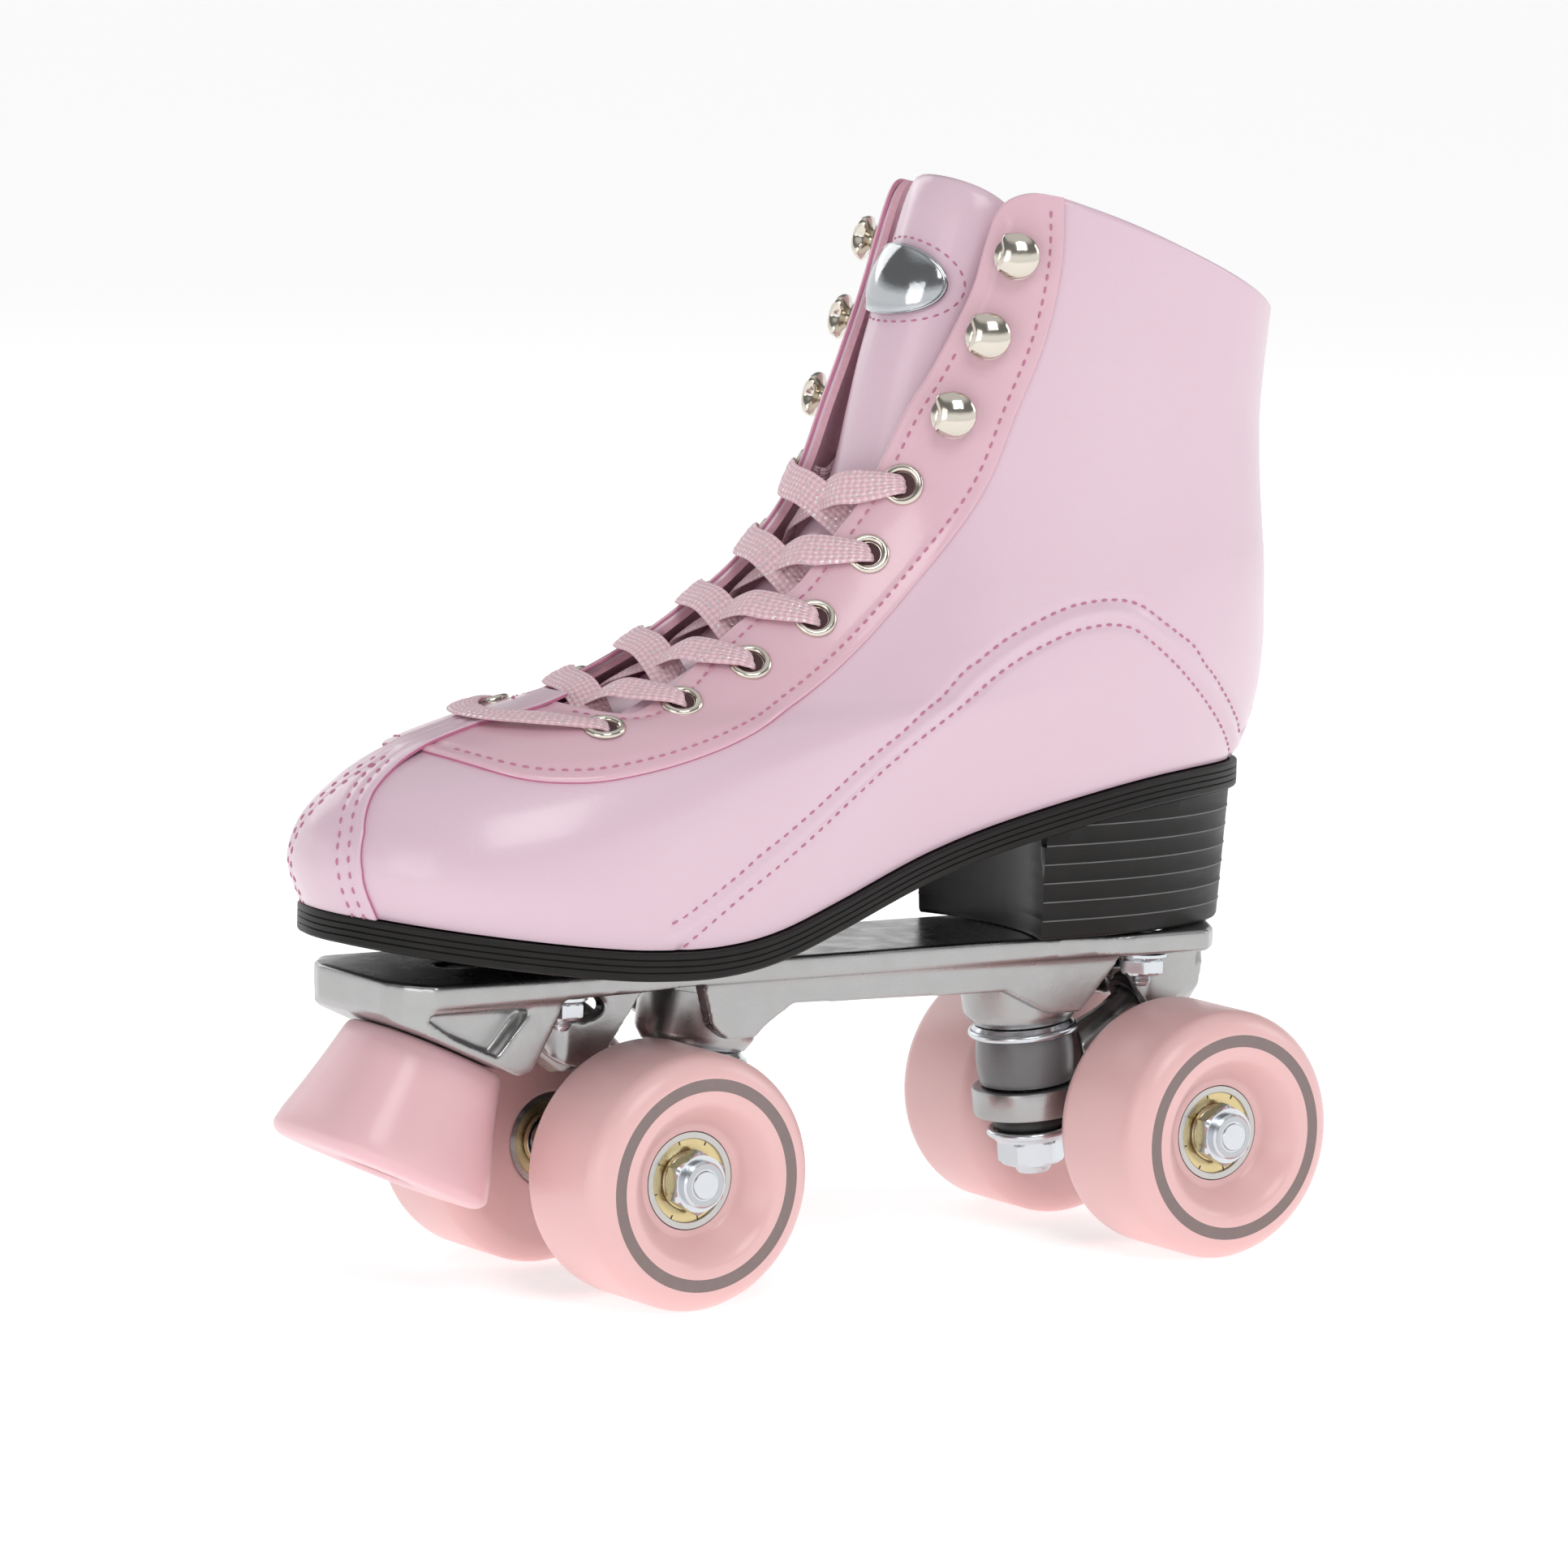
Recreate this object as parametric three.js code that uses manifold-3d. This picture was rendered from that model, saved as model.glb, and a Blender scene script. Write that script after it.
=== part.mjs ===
// Quad roller skate: a laced heeled boot on a cast plate with two steering trucks,
// four wheels on ball bearings and a bolted toe stop.
// Millimetres, +X towards the toe, +Y to the skate's left, +Z up, wheels standing on z = 0.
// Inside the file x = 0 is midway between the axles; the finished group is shifted so that
// its box is centred on the origin in X and Y.
import * as THREE from "three";
import { mergeVertices } from "three/addons/utils/BufferGeometryUtils.js";
import Module from "manifold-3d";

// ---------------------------------------------------------------- driving sizes

const GAP = 0.3; // clearance between pieces that touch on the real skate
const FINE = 12; // facets round a small turned piece

// running gear
const WHEELBASE = 146;
const AXLE_X = WHEELBASE / 2;
const TRACK = 64; // between the wheels' centre planes
const WHEEL_RADIUS = 29;
const WHEEL_WIDTH = 32;
const WHEEL_LIP = 6;
const WHEEL_DISH_RADIUS = 19;
const WHEEL_DISH_FLOOR = 12.6;
const WHEEL_DISH_DEPTH = 7;
const WHEEL_FACETS = 28;
const BEARING_RADIUS = 11;
const BEARING_BORE = 4.3;
const BEARING_WIDTH = 7;
const HUB_BORE = 8.6; // plain bore between the two bearing seats
const AXLE_RADIUS = 4;
const AXLE_TIP = 0.3; // how far the thread stops short of the wheel's outer face
const AXLE_NUT_FLATS = 12.7;
const AXLE_NUT_HEIGHT = 6;

// trucks
const KINGPIN_TILT = 7.5; // degrees, tops lean towards the middle of the skate
const KINGPIN_RADIUS = 4.75;
const KINGPIN_X = AXLE_X - 24.5; // ring centre, from the skate's middle
const RING_Z = 33;
const RING_THICKNESS = 6.8;
const RING_PLAY = 1.1; // room round the kingpin for the truck to tilt
const PIVOT_X = AXLE_X + 7;
const PIVOT_Z = 55.5;
const PIVOT_PIN_RADIUS = 4.4;
const PIVOT_CUP_WALL = 2;
const PIVOT_CUP_FLOOR = 1.6;
const PIVOT_CUP_DEPTH = 9;
const PIVOT_CUP_SEAT = 5.4; // how much of the cup's depth lies past the pivot
const UPPER_CUSHION_RADIUS = 11.6;
const UPPER_CUSHION_HEIGHT = 12.6;
const RING_RADIUS = UPPER_CUSHION_RADIUS + 1.4;
const WASHER_RIM = 1.3; // how far a washer stands out past the upper cushion
const UPPER_WASHER_RADIUS = UPPER_CUSHION_RADIUS + WASHER_RIM;
const LOWER_CUSHION_RADIUS = 8.6;
const LOWER_CUSHION_HEIGHT = 4;
const LOWER_WASHER_RADIUS = LOWER_CUSHION_RADIUS + 1.8;
const WASHER_THICKNESS = 1.6;
const KINGPIN_NUT_FLATS = 14;
const KINGPIN_NUT_HEIGHT = 5.6;
const KINGPIN_TIP = 2.4;
const HANGER_BAR_RADIUS = 7.4;
const HANGER_HALF_SPAN = 15.4;

// plate
const PLATE_TOP = 73.7;
const FLANGE_THICKNESS = 5.2;
const WEB_THICKNESS = 4.4;
const PLATE_NOSE_X = AXLE_X + 64;
const PLATE_TAIL_X = -AXLE_X - 18.6;
const PLATE_NOSE_HALF = 25;
const PLATE_WAIST_HALF = 20;
const PLATE_TAIL_HALF = 24;
const PLATE_CORNER = 7;
const MOUNT_BOLT_FRONT_X = AXLE_X + 19.5;
const MOUNT_BOLT_REAR_X = -AXLE_X + 5.5;
const MOUNT_BOLT_Y = 17;
const MOUNT_BOLT_RADIUS = 2.4;
const MOUNT_NUT_FLATS = 9.5;
const MOUNT_NUT_HEIGHT = 4;
const MOUNT_BOLT_TAIL = 13.4; // the bolt's reach below the plate's top face
const BOLT_HEAD_RADIUS = 5;
const BOLT_HEAD_HEIGHT = 2;

// toe stop
const STOP_TILT = 24; // degrees, how far the stop's foot leans forward
const STOP_SEAT_X = PLATE_NOSE_X - 20;
const STOP_SEAT_Z = 56;
const STOP_HEIGHT = 30;
const STOP_TOP_HALF = 17;
const STOP_FOOT_HALF = 23;
const STOP_BOLT_RADIUS = 4;
const STOP_BOLT_HEAD = 7;

// boot
const LEATHER = 2.4;
const SOLE_THICKNESS = 6.7;
const SOLE_WELT = 1.6; // how far the sole stands out past the upper
const INSOLE_THICKNESS = 3.5;
const HEEL_BREAST_X = -33;
const HEEL_TAPER = 3; // how much narrower the heel block is at its foot
const TOE_SWING = 3; // inward bend of the centre line at the toe
const TONGUE_SINK = 7.2; // tongue's face below the upper's face, down in the throat
const TONGUE_TOP_SINK = 1.8; // and at its top, where it stands forward between the hooks
const TONGUE_RISES_AT = 0.72; // ring where it starts to come forward
const TONGUE_CROWN_ANGLE = 0.62;
const TONGUE_THICKNESS = 5;
const TONGUE_HALF_ANGLE = 0.86;
const TONGUE_END = 0.987; // ring at the tongue's top edge
const COUNTER_THICKNESS = 1.6;
const EYELET_BORE = 2.8;
const EYELET_RADIUS = EYELET_BORE + 1.9;
const EYELET_WALL = 0.7;
const HOOK_BASE_RADIUS = 5.2;
const HOOK_HEIGHT = 6.2;
const RIVET_RADIUS = 1.6;
const BADGE_HALF_WIDTH = 14.2;
const BADGE_HALF_HEIGHT = 8.6;
const BADGE_THICKNESS = 1.6;
const LACE_WIDTH = 3.2; // drawn together, as it is in the eyelets
const LACE_THICKNESS = 1.1;
const LACE_OVER = -2.4; // height of the upper strand at a crossing, over the upper's surface
const LACE_UNDER = -4.6;
const LACE_INSIDE = -5.2; // height of the strand behind the eyestay

// rings of the upper, from the feather line (first) to the collar (last)
const FRONT_PROFILE = [
  [142, 88], [145.5, 98.5], [141, 109.5], [129.5, 119], [110, 126], [90, 130.5], [66, 140],
  [46, 151.5], [30, 163.5], [18, 178], [10, 196], [2, 216], [-11, 254],
];
const BACK_PROFILE = [
  [-101, 111], [-104, 116], [-106, 122], [-107.3, 128], [-107.5, 134], [-107, 141], [-105.5, 150],
  [-104, 160], [-102.5, 170], [-101, 181], [-100, 193], [-100, 205], [-101, 222],
];
const HALF_WIDTH = [41.5, 43, 43, 41.5, 39.5, 37.5, 36.5, 36, 35.5, 35.5, 36, 36.8, 37.5];
const WIDEST_AT = [0.53, 0.5, 0.42, 0.3, 0.12, -0.08, -0.2, -0.25, -0.22, -0.18, -0.14, -0.12, -0.1];
const WAIST = [0.29, 0.25, 0.2, 0.13, 0.065, 0.025, 0, 0, 0, 0, 0, 0, 0]; // share of the width drawn in under the arch
const SOLE_LINE = [
  [-101, 112], [-76, 111.8], [-54, 109.6], [-26, 104], [2, 97], [30, 88.4], [50, 82.8],
  [66, 80.8], [82, 81], [98, 82.4], [124, 85.6], [142, 88],
];
const EYELETS = [[87, 127.5], [66.5, 132.5], [48, 140.5], [31, 150], [16, 164], [6.4, 179.5]];
const HOOKS = [[-4.2, 195.2], [-12, 213], [-18.6, 231]];
const THROAT_EDGE = [
  [95, 134], [79, 130.2], [65, 135.6], [53, 143.4], [41, 151.4], [32, 156.3], [23.6, 164.4],
  [12.6, 178], [3.7, 196], [-2.4, 207], [-9.8, 222.7], [-14, 236], [-20, 252],
];
const EYESTAY_EDGE = [
  [121, 122], [111, 118.6], [101, 117.8], [90.5, 118.6], [74, 121.8], [57.5, 126.6],
  [40, 134], [24.5, 143.6], [9.6, 156.4], [-2.8, 169.4], [-10.8, 181], [-16.8, 196],
  [-23.4, 212.5], [-28.6, 229.4], [-31.4, 248],
];
const CAP_SEAM = [[5, 132], [5, 124], [5.4, 120], [8, 114], [13.5, 106], [16, 98], [16, 84]];
const COLLAR_EDGE = [
  [-4, 247], [-19, 246.4], [-29, 244.6], [-43, 239.6], [-57, 234], [-73, 227.4], [-96, 217.6], [-112, 212],
];

// ---------------------------------------------------------------- solids and surfaces

const wasm = await Module();
wasm.setup();

const degrees = (angle) => (angle * Math.PI) / 180;
const vec = (x, y, z) => new THREE.Vector3(x, y, z);

// A closed geometry as a manifold solid, with shared vertices merged and slivers dropped.
function solid(geometry) {
  const bare = geometry.index ? geometry.toNonIndexed() : geometry.clone();
  bare.deleteAttribute("normal");
  bare.deleteAttribute("uv");
  const merged = mergeVertices(bare, 1e-4);
  const corners = merged.index.array;
  const kept = [];
  for (let i = 0; i < corners.length; i += 3) {
    const [a, b, c] = [corners[i], corners[i + 1], corners[i + 2]];
    if (a !== b && b !== c && c !== a) kept.push(a, b, c);
  }
  return new wasm.Manifold(
    new wasm.Mesh({
      numProp: 3,
      vertProperties: merged.attributes.position.array,
      triVerts: new Uint32Array(kept),
    }),
  );
}

function geometryOf(body) {
  const mesh = body.getMesh();
  const geometry = new THREE.BufferGeometry();
  geometry.setAttribute("position", new THREE.BufferAttribute(new Float32Array(mesh.vertProperties), 3));
  geometry.setIndex(new THREE.BufferAttribute(new Uint32Array(mesh.triVerts), 1));
  return geometry;
}

const join = (bodies) => bodies.reduce((whole, body) => whole.add(body));
const cut = (body, tools) => tools.reduce((left, tool) => left.subtract(tool), body);

// Turned solid: [radius, height] points from bottom axis point to top axis point, about +Z.
function turned(profile, facets = FINE) {
  const points = profile.map(([r, h]) => new THREE.Vector2(r, h));
  return new THREE.LatheGeometry(points, facets).rotateX(Math.PI / 2);
}

function rod(radius, low, high, facets = FINE) {
  return new THREE.CylinderGeometry(radius, radius, high - low, facets)
    .rotateX(Math.PI / 2)
    .translate(0, 0, (low + high) / 2);
}

function hexRod(flats, low, high) {
  return rod(flats / 2 / Math.cos(Math.PI / 6), low, high, 6);
}

// Side outline of [x, z] points as a prism from y = low to y = high.
function sidePrism(outline, low, high) {
  const shape = new THREE.Shape(outline.map(([x, z]) => new THREE.Vector2(x, z)));
  return new THREE.ExtrudeGeometry(shape, { depth: high - low, bevelEnabled: false })
    .rotateX(Math.PI / 2)
    .translate(0, high, 0);
}

// Plan outline of [x, y] points as a prism from z = low to z = high.
function planPrism(outline, low, high) {
  const shape = new THREE.Shape(outline.map(([x, y]) => new THREE.Vector2(x, y)));
  return new THREE.ExtrudeGeometry(shape, { depth: high - low, bevelEnabled: false }).translate(0, 0, low);
}

// Front outline of [y, z] points as a prism from x = low to x = high.
function frontPrism(outline, low, high) {
  const shape = new THREE.Shape(outline.map(([y, z]) => new THREE.Vector2(y, z)));
  return new THREE.ExtrudeGeometry(shape, { depth: high - low, bevelEnabled: false })
    .rotateX(Math.PI / 2)
    .rotateZ(Math.PI / 2)
    .translate(low, 0, 0);
}

// Puts a solid that was made about +Z on the line from a place along a direction.
function along(geometry, place, direction) {
  const turn = new THREE.Quaternion().setFromUnitVectors(vec(0, 0, 1), direction.clone().normalize());
  return geometry.clone().applyQuaternion(turn).translate(place.x, place.y, place.z);
}

// Smooth curve through 2-D points, sampled evenly by parameter.
function smooth(points, count) {
  const curve = new THREE.SplineCurve(points.map(([a, b]) => new THREE.Vector2(a, b)));
  return curve.getPoints(count).map((p) => [p.x, p.y]);
}

// A curve's points moved sideways by a distance, to the left of its direction.
function offset(points, distance) {
  return points.map((p, i) => {
    const a = points[Math.max(i - 1, 0)];
    const b = points[Math.min(i + 1, points.length - 1)];
    const length = Math.hypot(b[0] - a[0], b[1] - a[1]);
    return [p[0] - ((b[1] - a[1]) / length) * distance, p[1] + ((b[0] - a[0]) / length) * distance];
  });
}

// Value of a list at a parameter from 0 to 1, by a smooth curve through its entries.
function along01(list, t) {
  const place = t * (list.length - 1);
  const i = Math.min(Math.max(Math.floor(place), 0), list.length - 2);
  const f = place - i;
  const at = (k) => list[Math.min(Math.max(k, 0), list.length - 1)];
  return THREE.MathUtils.lerp(at(i), at(i + 1), f) +
    (f * (1 - f) * ((1 - f) * (2 * at(i) - at(i - 1) - at(i + 1)) + f * (2 * at(i + 1) - at(i) - at(i + 2)))) / 2;
}

// Height of a side-view line of [x, z] points at a given x.
function heightAt(line, x) {
  let i = 0;
  while (i < line.length - 2 && x > line[i + 1][0]) i += 1;
  const [a, b] = [line[i], line[i + 1]];
  return THREE.MathUtils.lerp(a[1], b[1], (x - a[0]) / (b[0] - a[0]));
}

const SOLE_CURVE = smooth(SOLE_LINE, 88);
const soleTop = (x) => heightAt(SOLE_CURVE, x);

// Point of the upper at ring t (0 feather line, 1 collar) and angle round it (0 at the toe).
function upperPoint(t, angle) {
  const front = [along01(FRONT_PROFILE.map((p) => p[0]), t), along01(FRONT_PROFILE.map((p) => p[1]), t)];
  const back = [along01(BACK_PROFILE.map((p) => p[0]), t), along01(BACK_PROFILE.map((p) => p[1]), t)];
  const s = Math.cos(angle);
  const share = (1 + s) / 2;
  const widest = along01(WIDEST_AT, t);
  const reach = s > widest ? (s - widest) / (1 - widest) : (widest - s) / (1 + widest);
  const power = s > widest ? 2.15 : 2.7;
  const width = along01(HALF_WIDTH, t) * Math.sqrt(Math.max(1 - reach ** power, 0));
  const waist = 1 - along01(WAIST, t) * Math.exp(-(((s + 0.25) / 0.42) ** 2));
  const x = THREE.MathUtils.lerp(back[0], front[0], share);
  const line = THREE.MathUtils.lerp(back[1], front[1], share);
  const footX = THREE.MathUtils.lerp(BACK_PROFILE[0][0], FRONT_PROFILE[0][0], share);
  const footLine = THREE.MathUtils.lerp(BACK_PROFILE[0][1], FRONT_PROFILE[0][1], share);
  const fade = Math.max(1 - t / 0.45, 0) ** 2;
  const swing = TOE_SWING * Math.max((x - 40) / 100, 0) ** 2;
  const side = Math.sin(angle) < 0 ? -1 : 1;
  return vec(x, side * width * waist - swing, line + fade * (soleTop(footX) - footLine));
}

// The same point moved along the surface normal, outwards when the distance is positive.
function skinPoint(t, angle, distance) {
  const step = 1e-3;
  const point = upperPoint(t, angle);
  const acrossRing = upperPoint(t, angle + step).sub(upperPoint(t, angle - step));
  const upRing = upperPoint(t + step, angle).sub(upperPoint(t - step, angle));
  const normal = acrossRing.cross(upRing).normalize();
  return point.addScaledVector(normal, distance);
}

// Ring parameter and angle of the skin point at a side-view place, on the left or right.
function findOnSkin([x, z], side) {
  let [t, angle] = [0.5, 1.2];
  for (let turn = 0; turn < 60; turn += 1) {
    const here = upperPoint(t, angle);
    const dt = 1e-4;
    const byT = upperPoint(t + dt, angle).sub(here).divideScalar(dt);
    const byAngle = upperPoint(t, angle + dt).sub(here).divideScalar(dt);
    const det = byT.x * byAngle.z - byT.z * byAngle.x;
    const [ex, ez] = [x - here.x, z - here.z];
    t = THREE.MathUtils.clamp(t + (0.7 * (ex * byAngle.z - ez * byAngle.x)) / det, 0.02, 0.98);
    angle = THREE.MathUtils.clamp(angle + (0.7 * (byT.x * ez - byT.z * ex)) / det, 0.05, 3.05);
  }
  return { t, angle: side * angle };
}

// Outward direction of the skin.
function skinNormal(t, angle) {
  return skinPoint(t, angle, 1).sub(skinPoint(t, angle, 0)).normalize();
}

// Triangles of a grid of points, rows by columns, facing along +(row x column) when forward.
function gridFaces(rows, closed, forward, out) {
  const columns = rows[0].length;
  for (let i = 0; i + 1 < rows.length; i += 1) {
    for (let j = 0; j < (closed ? columns : columns - 1); j += 1) {
      const [a, b] = [rows[i][j], rows[i][(j + 1) % columns]];
      const [c, d] = [rows[i + 1][(j + 1) % columns], rows[i + 1][j]];
      const quad = forward ? [a, b, c, a, c, d] : [a, c, b, a, d, c];
      for (const p of quad) out.push(p.x, p.y, p.z);
    }
  }
}

function fromTriangles(numbers) {
  return new THREE.BufferGeometry().setAttribute("position", new THREE.Float32BufferAttribute(numbers, 3));
}

// Solid between two sheets of points with the same rows and columns.
function sheetSolid(outer, inner) {
  const out = [];
  gridFaces(outer, false, true, out);
  gridFaces(inner, false, false, out);
  const last = outer.length - 1;
  const edge = outer[0].length - 1;
  gridFaces([inner[0], outer[0]], false, true, out);
  gridFaces([outer[last], inner[last]], false, true, out);
  gridFaces([outer.map((r) => r[0]), inner.map((r) => r[0])], false, true, out);
  gridFaces([inner.map((r) => r[edge]), outer.map((r) => r[edge])], false, true, out);
  return fromTriangles(out);
}

// Tube-like solid between two stacks of closed rings.
function ringSolid(outer, inner) {
  const out = [];
  const last = outer.length - 1;
  gridFaces(outer, true, true, out);
  gridFaces(inner, true, false, out);
  gridFaces([inner[0], outer[0]], true, true, out);
  gridFaces([outer[last], inner[last]], true, true, out);
  return fromTriangles(out);
}

const range = (count, low, high) =>
  Array.from({ length: count + 1 }, (_, i) => THREE.MathUtils.lerp(low, high, i / count));

// ---------------------------------------------------------------- materials and nodes

const finish = (color, roughness, metalness) =>
  new THREE.MeshStandardMaterial({ color, roughness, metalness });

const PINK_LEATHER = finish(0xf0c4dc, 0.3, 0);
const PINK_URETHANE = finish(0xf2b3b3, 0.4, 0);
const BLACK_SOLE = finish(0x181819, 0.5, 0);
const CAST_ALUMINIUM = finish(0xb9bbbc, 0.35, 1);
const NICKEL = finish(0xb7b1a4, 0.2, 1);
const ZINC = finish(0xc3c7cc, 0.3, 1);
const BEARING_STEEL = finish(0xc0a560, 0.3, 1);
const GREY_URETHANE = finish(0x8d8f90, 0.45, 0.3);
const BLACK_RUBBER = finish(0x202022, 0.7, 0);
const LACE_PINK = finish(0xf3cfd8, 0.8, 0);
const INSOLE_PINK = finish(0xe7a9c6, 0.9, 0);

const skate = new THREE.Group();

function node(name, body, material) {
  const geometry = body.isBufferGeometry ? geometryOf(solid(body)) : geometryOf(body);
  const mesh = new THREE.Mesh(geometry, material);
  mesh.name = name;
  skate.add(mesh);
}

// ---------------------------------------------------------------- wheels

const AXLE_Z = WHEEL_RADIUS;
const WHEEL_INNER_FACE = TRACK / 2 - WHEEL_WIDTH / 2;
const WHEEL_OUTER_FACE = TRACK / 2 + WHEEL_WIDTH / 2;
const OUTER_BEARING = WHEEL_OUTER_FACE - WHEEL_DISH_DEPTH - BEARING_WIDTH;
const INNER_BEARING = WHEEL_INNER_FACE + GAP;

// Tread wheel about +Z from its inner face to its outer face, with rounded lips.
function wheelSolid() {
  const seat = BEARING_RADIUS + GAP / 2;
  const lip = (h, from, to) =>
    range(3, degrees(from), degrees(to)).map((a) => [
      WHEEL_RADIUS - WHEEL_LIP + WHEEL_LIP * Math.cos(a),
      h + WHEEL_LIP * Math.sin(a),
    ]);
  const profile = [
    [seat, WHEEL_INNER_FACE],
    ...lip(WHEEL_INNER_FACE + WHEEL_LIP, -90, 0),
    ...lip(WHEEL_OUTER_FACE - WHEEL_LIP, 0, 90),
    [WHEEL_DISH_RADIUS, WHEEL_OUTER_FACE],
    [WHEEL_DISH_RADIUS - 2.4, WHEEL_OUTER_FACE - 1.4],
    [WHEEL_DISH_FLOOR, OUTER_BEARING + BEARING_WIDTH],
    [seat, OUTER_BEARING + BEARING_WIDTH],
    [seat, OUTER_BEARING - GAP],
    [HUB_BORE, OUTER_BEARING - GAP],
    [HUB_BORE, INNER_BEARING + BEARING_WIDTH + GAP],
    [seat, INNER_BEARING + BEARING_WIDTH + GAP],
    [seat, WHEEL_INNER_FACE],
  ];
  const flat = 1 / Math.cos(Math.PI / WHEEL_FACETS);
  return turned(profile, WHEEL_FACETS).rotateZ(Math.PI / WHEEL_FACETS).scale(flat, flat, 1);
}

function bearingSolid(low) {
  const high = low + BEARING_WIDTH;
  const shield = 0.4; // how far the shield sits below the rings
  return turned([
    [BEARING_BORE, low],
    [BEARING_RADIUS, low],
    [BEARING_RADIUS, high],
    [BEARING_RADIUS - 1.6, high],
    [BEARING_RADIUS - 1.8, high - shield],
    [BEARING_BORE + 2.2, high - shield],
    [BEARING_BORE + 2, high],
    [BEARING_BORE, high],
    [BEARING_BORE, low],
  ]);
}

// Nut with chamfered corners about +Z.
function nutSolid(flats, height, bore, low) {
  const corner = flats / 2 / Math.cos(Math.PI / 6);
  const body = solid(hexRod(flats, low, low + height));
  const rounded = turned([
    [0, low], [corner - 0.6, low], [corner, low + 0.7], [corner, low + height - 0.7],
    [corner - 0.6, low + height], [0, low + height],
  ]);
  return body.intersect(solid(rounded)).subtract(solid(rod(bore, low - 1, low + height + 1)));
}

const AXLE_NUT_LOW = OUTER_BEARING + BEARING_WIDTH + GAP;

function addWheel(name, x, side) {
  const place = vec(x, 0, AXLE_Z);
  const out = vec(0, side, 0);
  const put = (body) => along(body.isBufferGeometry ? body : geometryOf(body), place, out);
  const nut = nutSolid(AXLE_NUT_FLATS, AXLE_NUT_HEIGHT, AXLE_RADIUS + GAP, AXLE_NUT_LOW);
  node(`${name}_wheel`, put(wheelSolid()), PINK_URETHANE);
  node(`${name}_outer_bearing`, put(bearingSolid(OUTER_BEARING)), BEARING_STEEL);
  node(`${name}_inner_bearing`, put(bearingSolid(INNER_BEARING)), BEARING_STEEL);
  node(`${name}_axle_nut`, put(nut), ZINC);
}

// ---------------------------------------------------------------- trucks

const RING_HALF = RING_THICKNESS / 2;
const CUSHION_LOW = RING_HALF + GAP;
const UPPER_WASHER_LOW = CUSHION_LOW + UPPER_CUSHION_HEIGHT + GAP;
const BOSS_LOW = UPPER_WASHER_LOW + WASHER_THICKNESS + GAP;
const LOWER_WASHER_TOP = -CUSHION_LOW - LOWER_CUSHION_HEIGHT - GAP;
const KINGPIN_NUT_TOP = LOWER_WASHER_TOP - WASHER_THICKNESS - GAP;
const KINGPIN_FOOT = KINGPIN_NUT_TOP - KINGPIN_NUT_HEIGHT - KINGPIN_TIP;
const KINGPIN_BORE = KINGPIN_RADIUS + GAP;

// Where a truck's parts are: end is 1 for the front truck and -1 for the rear one.
function truckFrame(end) {
  const tilt = degrees(KINGPIN_TILT);
  const ringCentre = vec(end * KINGPIN_X, 0, RING_Z);
  const pivot = vec(end * PIVOT_X, 0, PIVOT_Z);
  return {
    ringCentre,
    pivot,
    kingpin: vec(-end * Math.sin(tilt), 0, Math.cos(tilt)),
    steer: pivot.clone().sub(ringCentre).normalize(),
    axle: vec((end * WHEELBASE) / 2, 0, AXLE_Z),
  };
}

// Cushion with bulging sides and a bore for the kingpin.
function cushionSolid(radius, low, height) {
  const bulge = 0.7;
  const profile = range(4, 0, 1).map((u) => [radius - bulge + bulge * Math.sin(Math.PI * u), low + height * u]);
  return turned([[KINGPIN_BORE, low], ...profile, [KINGPIN_BORE, low + height], [KINGPIN_BORE, low]]);
}

// Washer with a rolled rim that turns towards the cushion.
function cupWasher(radius, low, lipDown) {
  const high = low + WASHER_THICKNESS;
  const lip = 1.2;
  const profile = lipDown
    ? [[KINGPIN_BORE, low], [radius - 1.5, low], [radius - 1, low - lip], [radius, low - lip], [radius, high - 0.6], [radius - 0.7, high], [KINGPIN_BORE, high], [KINGPIN_BORE, low]]
    : [[KINGPIN_BORE, low], [radius - 0.7, low], [radius, low + 0.6], [radius, high + lip], [radius - 1, high + lip], [radius - 1.5, high], [KINGPIN_BORE, high], [KINGPIN_BORE, low]];
  return turned(profile);
}

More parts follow.
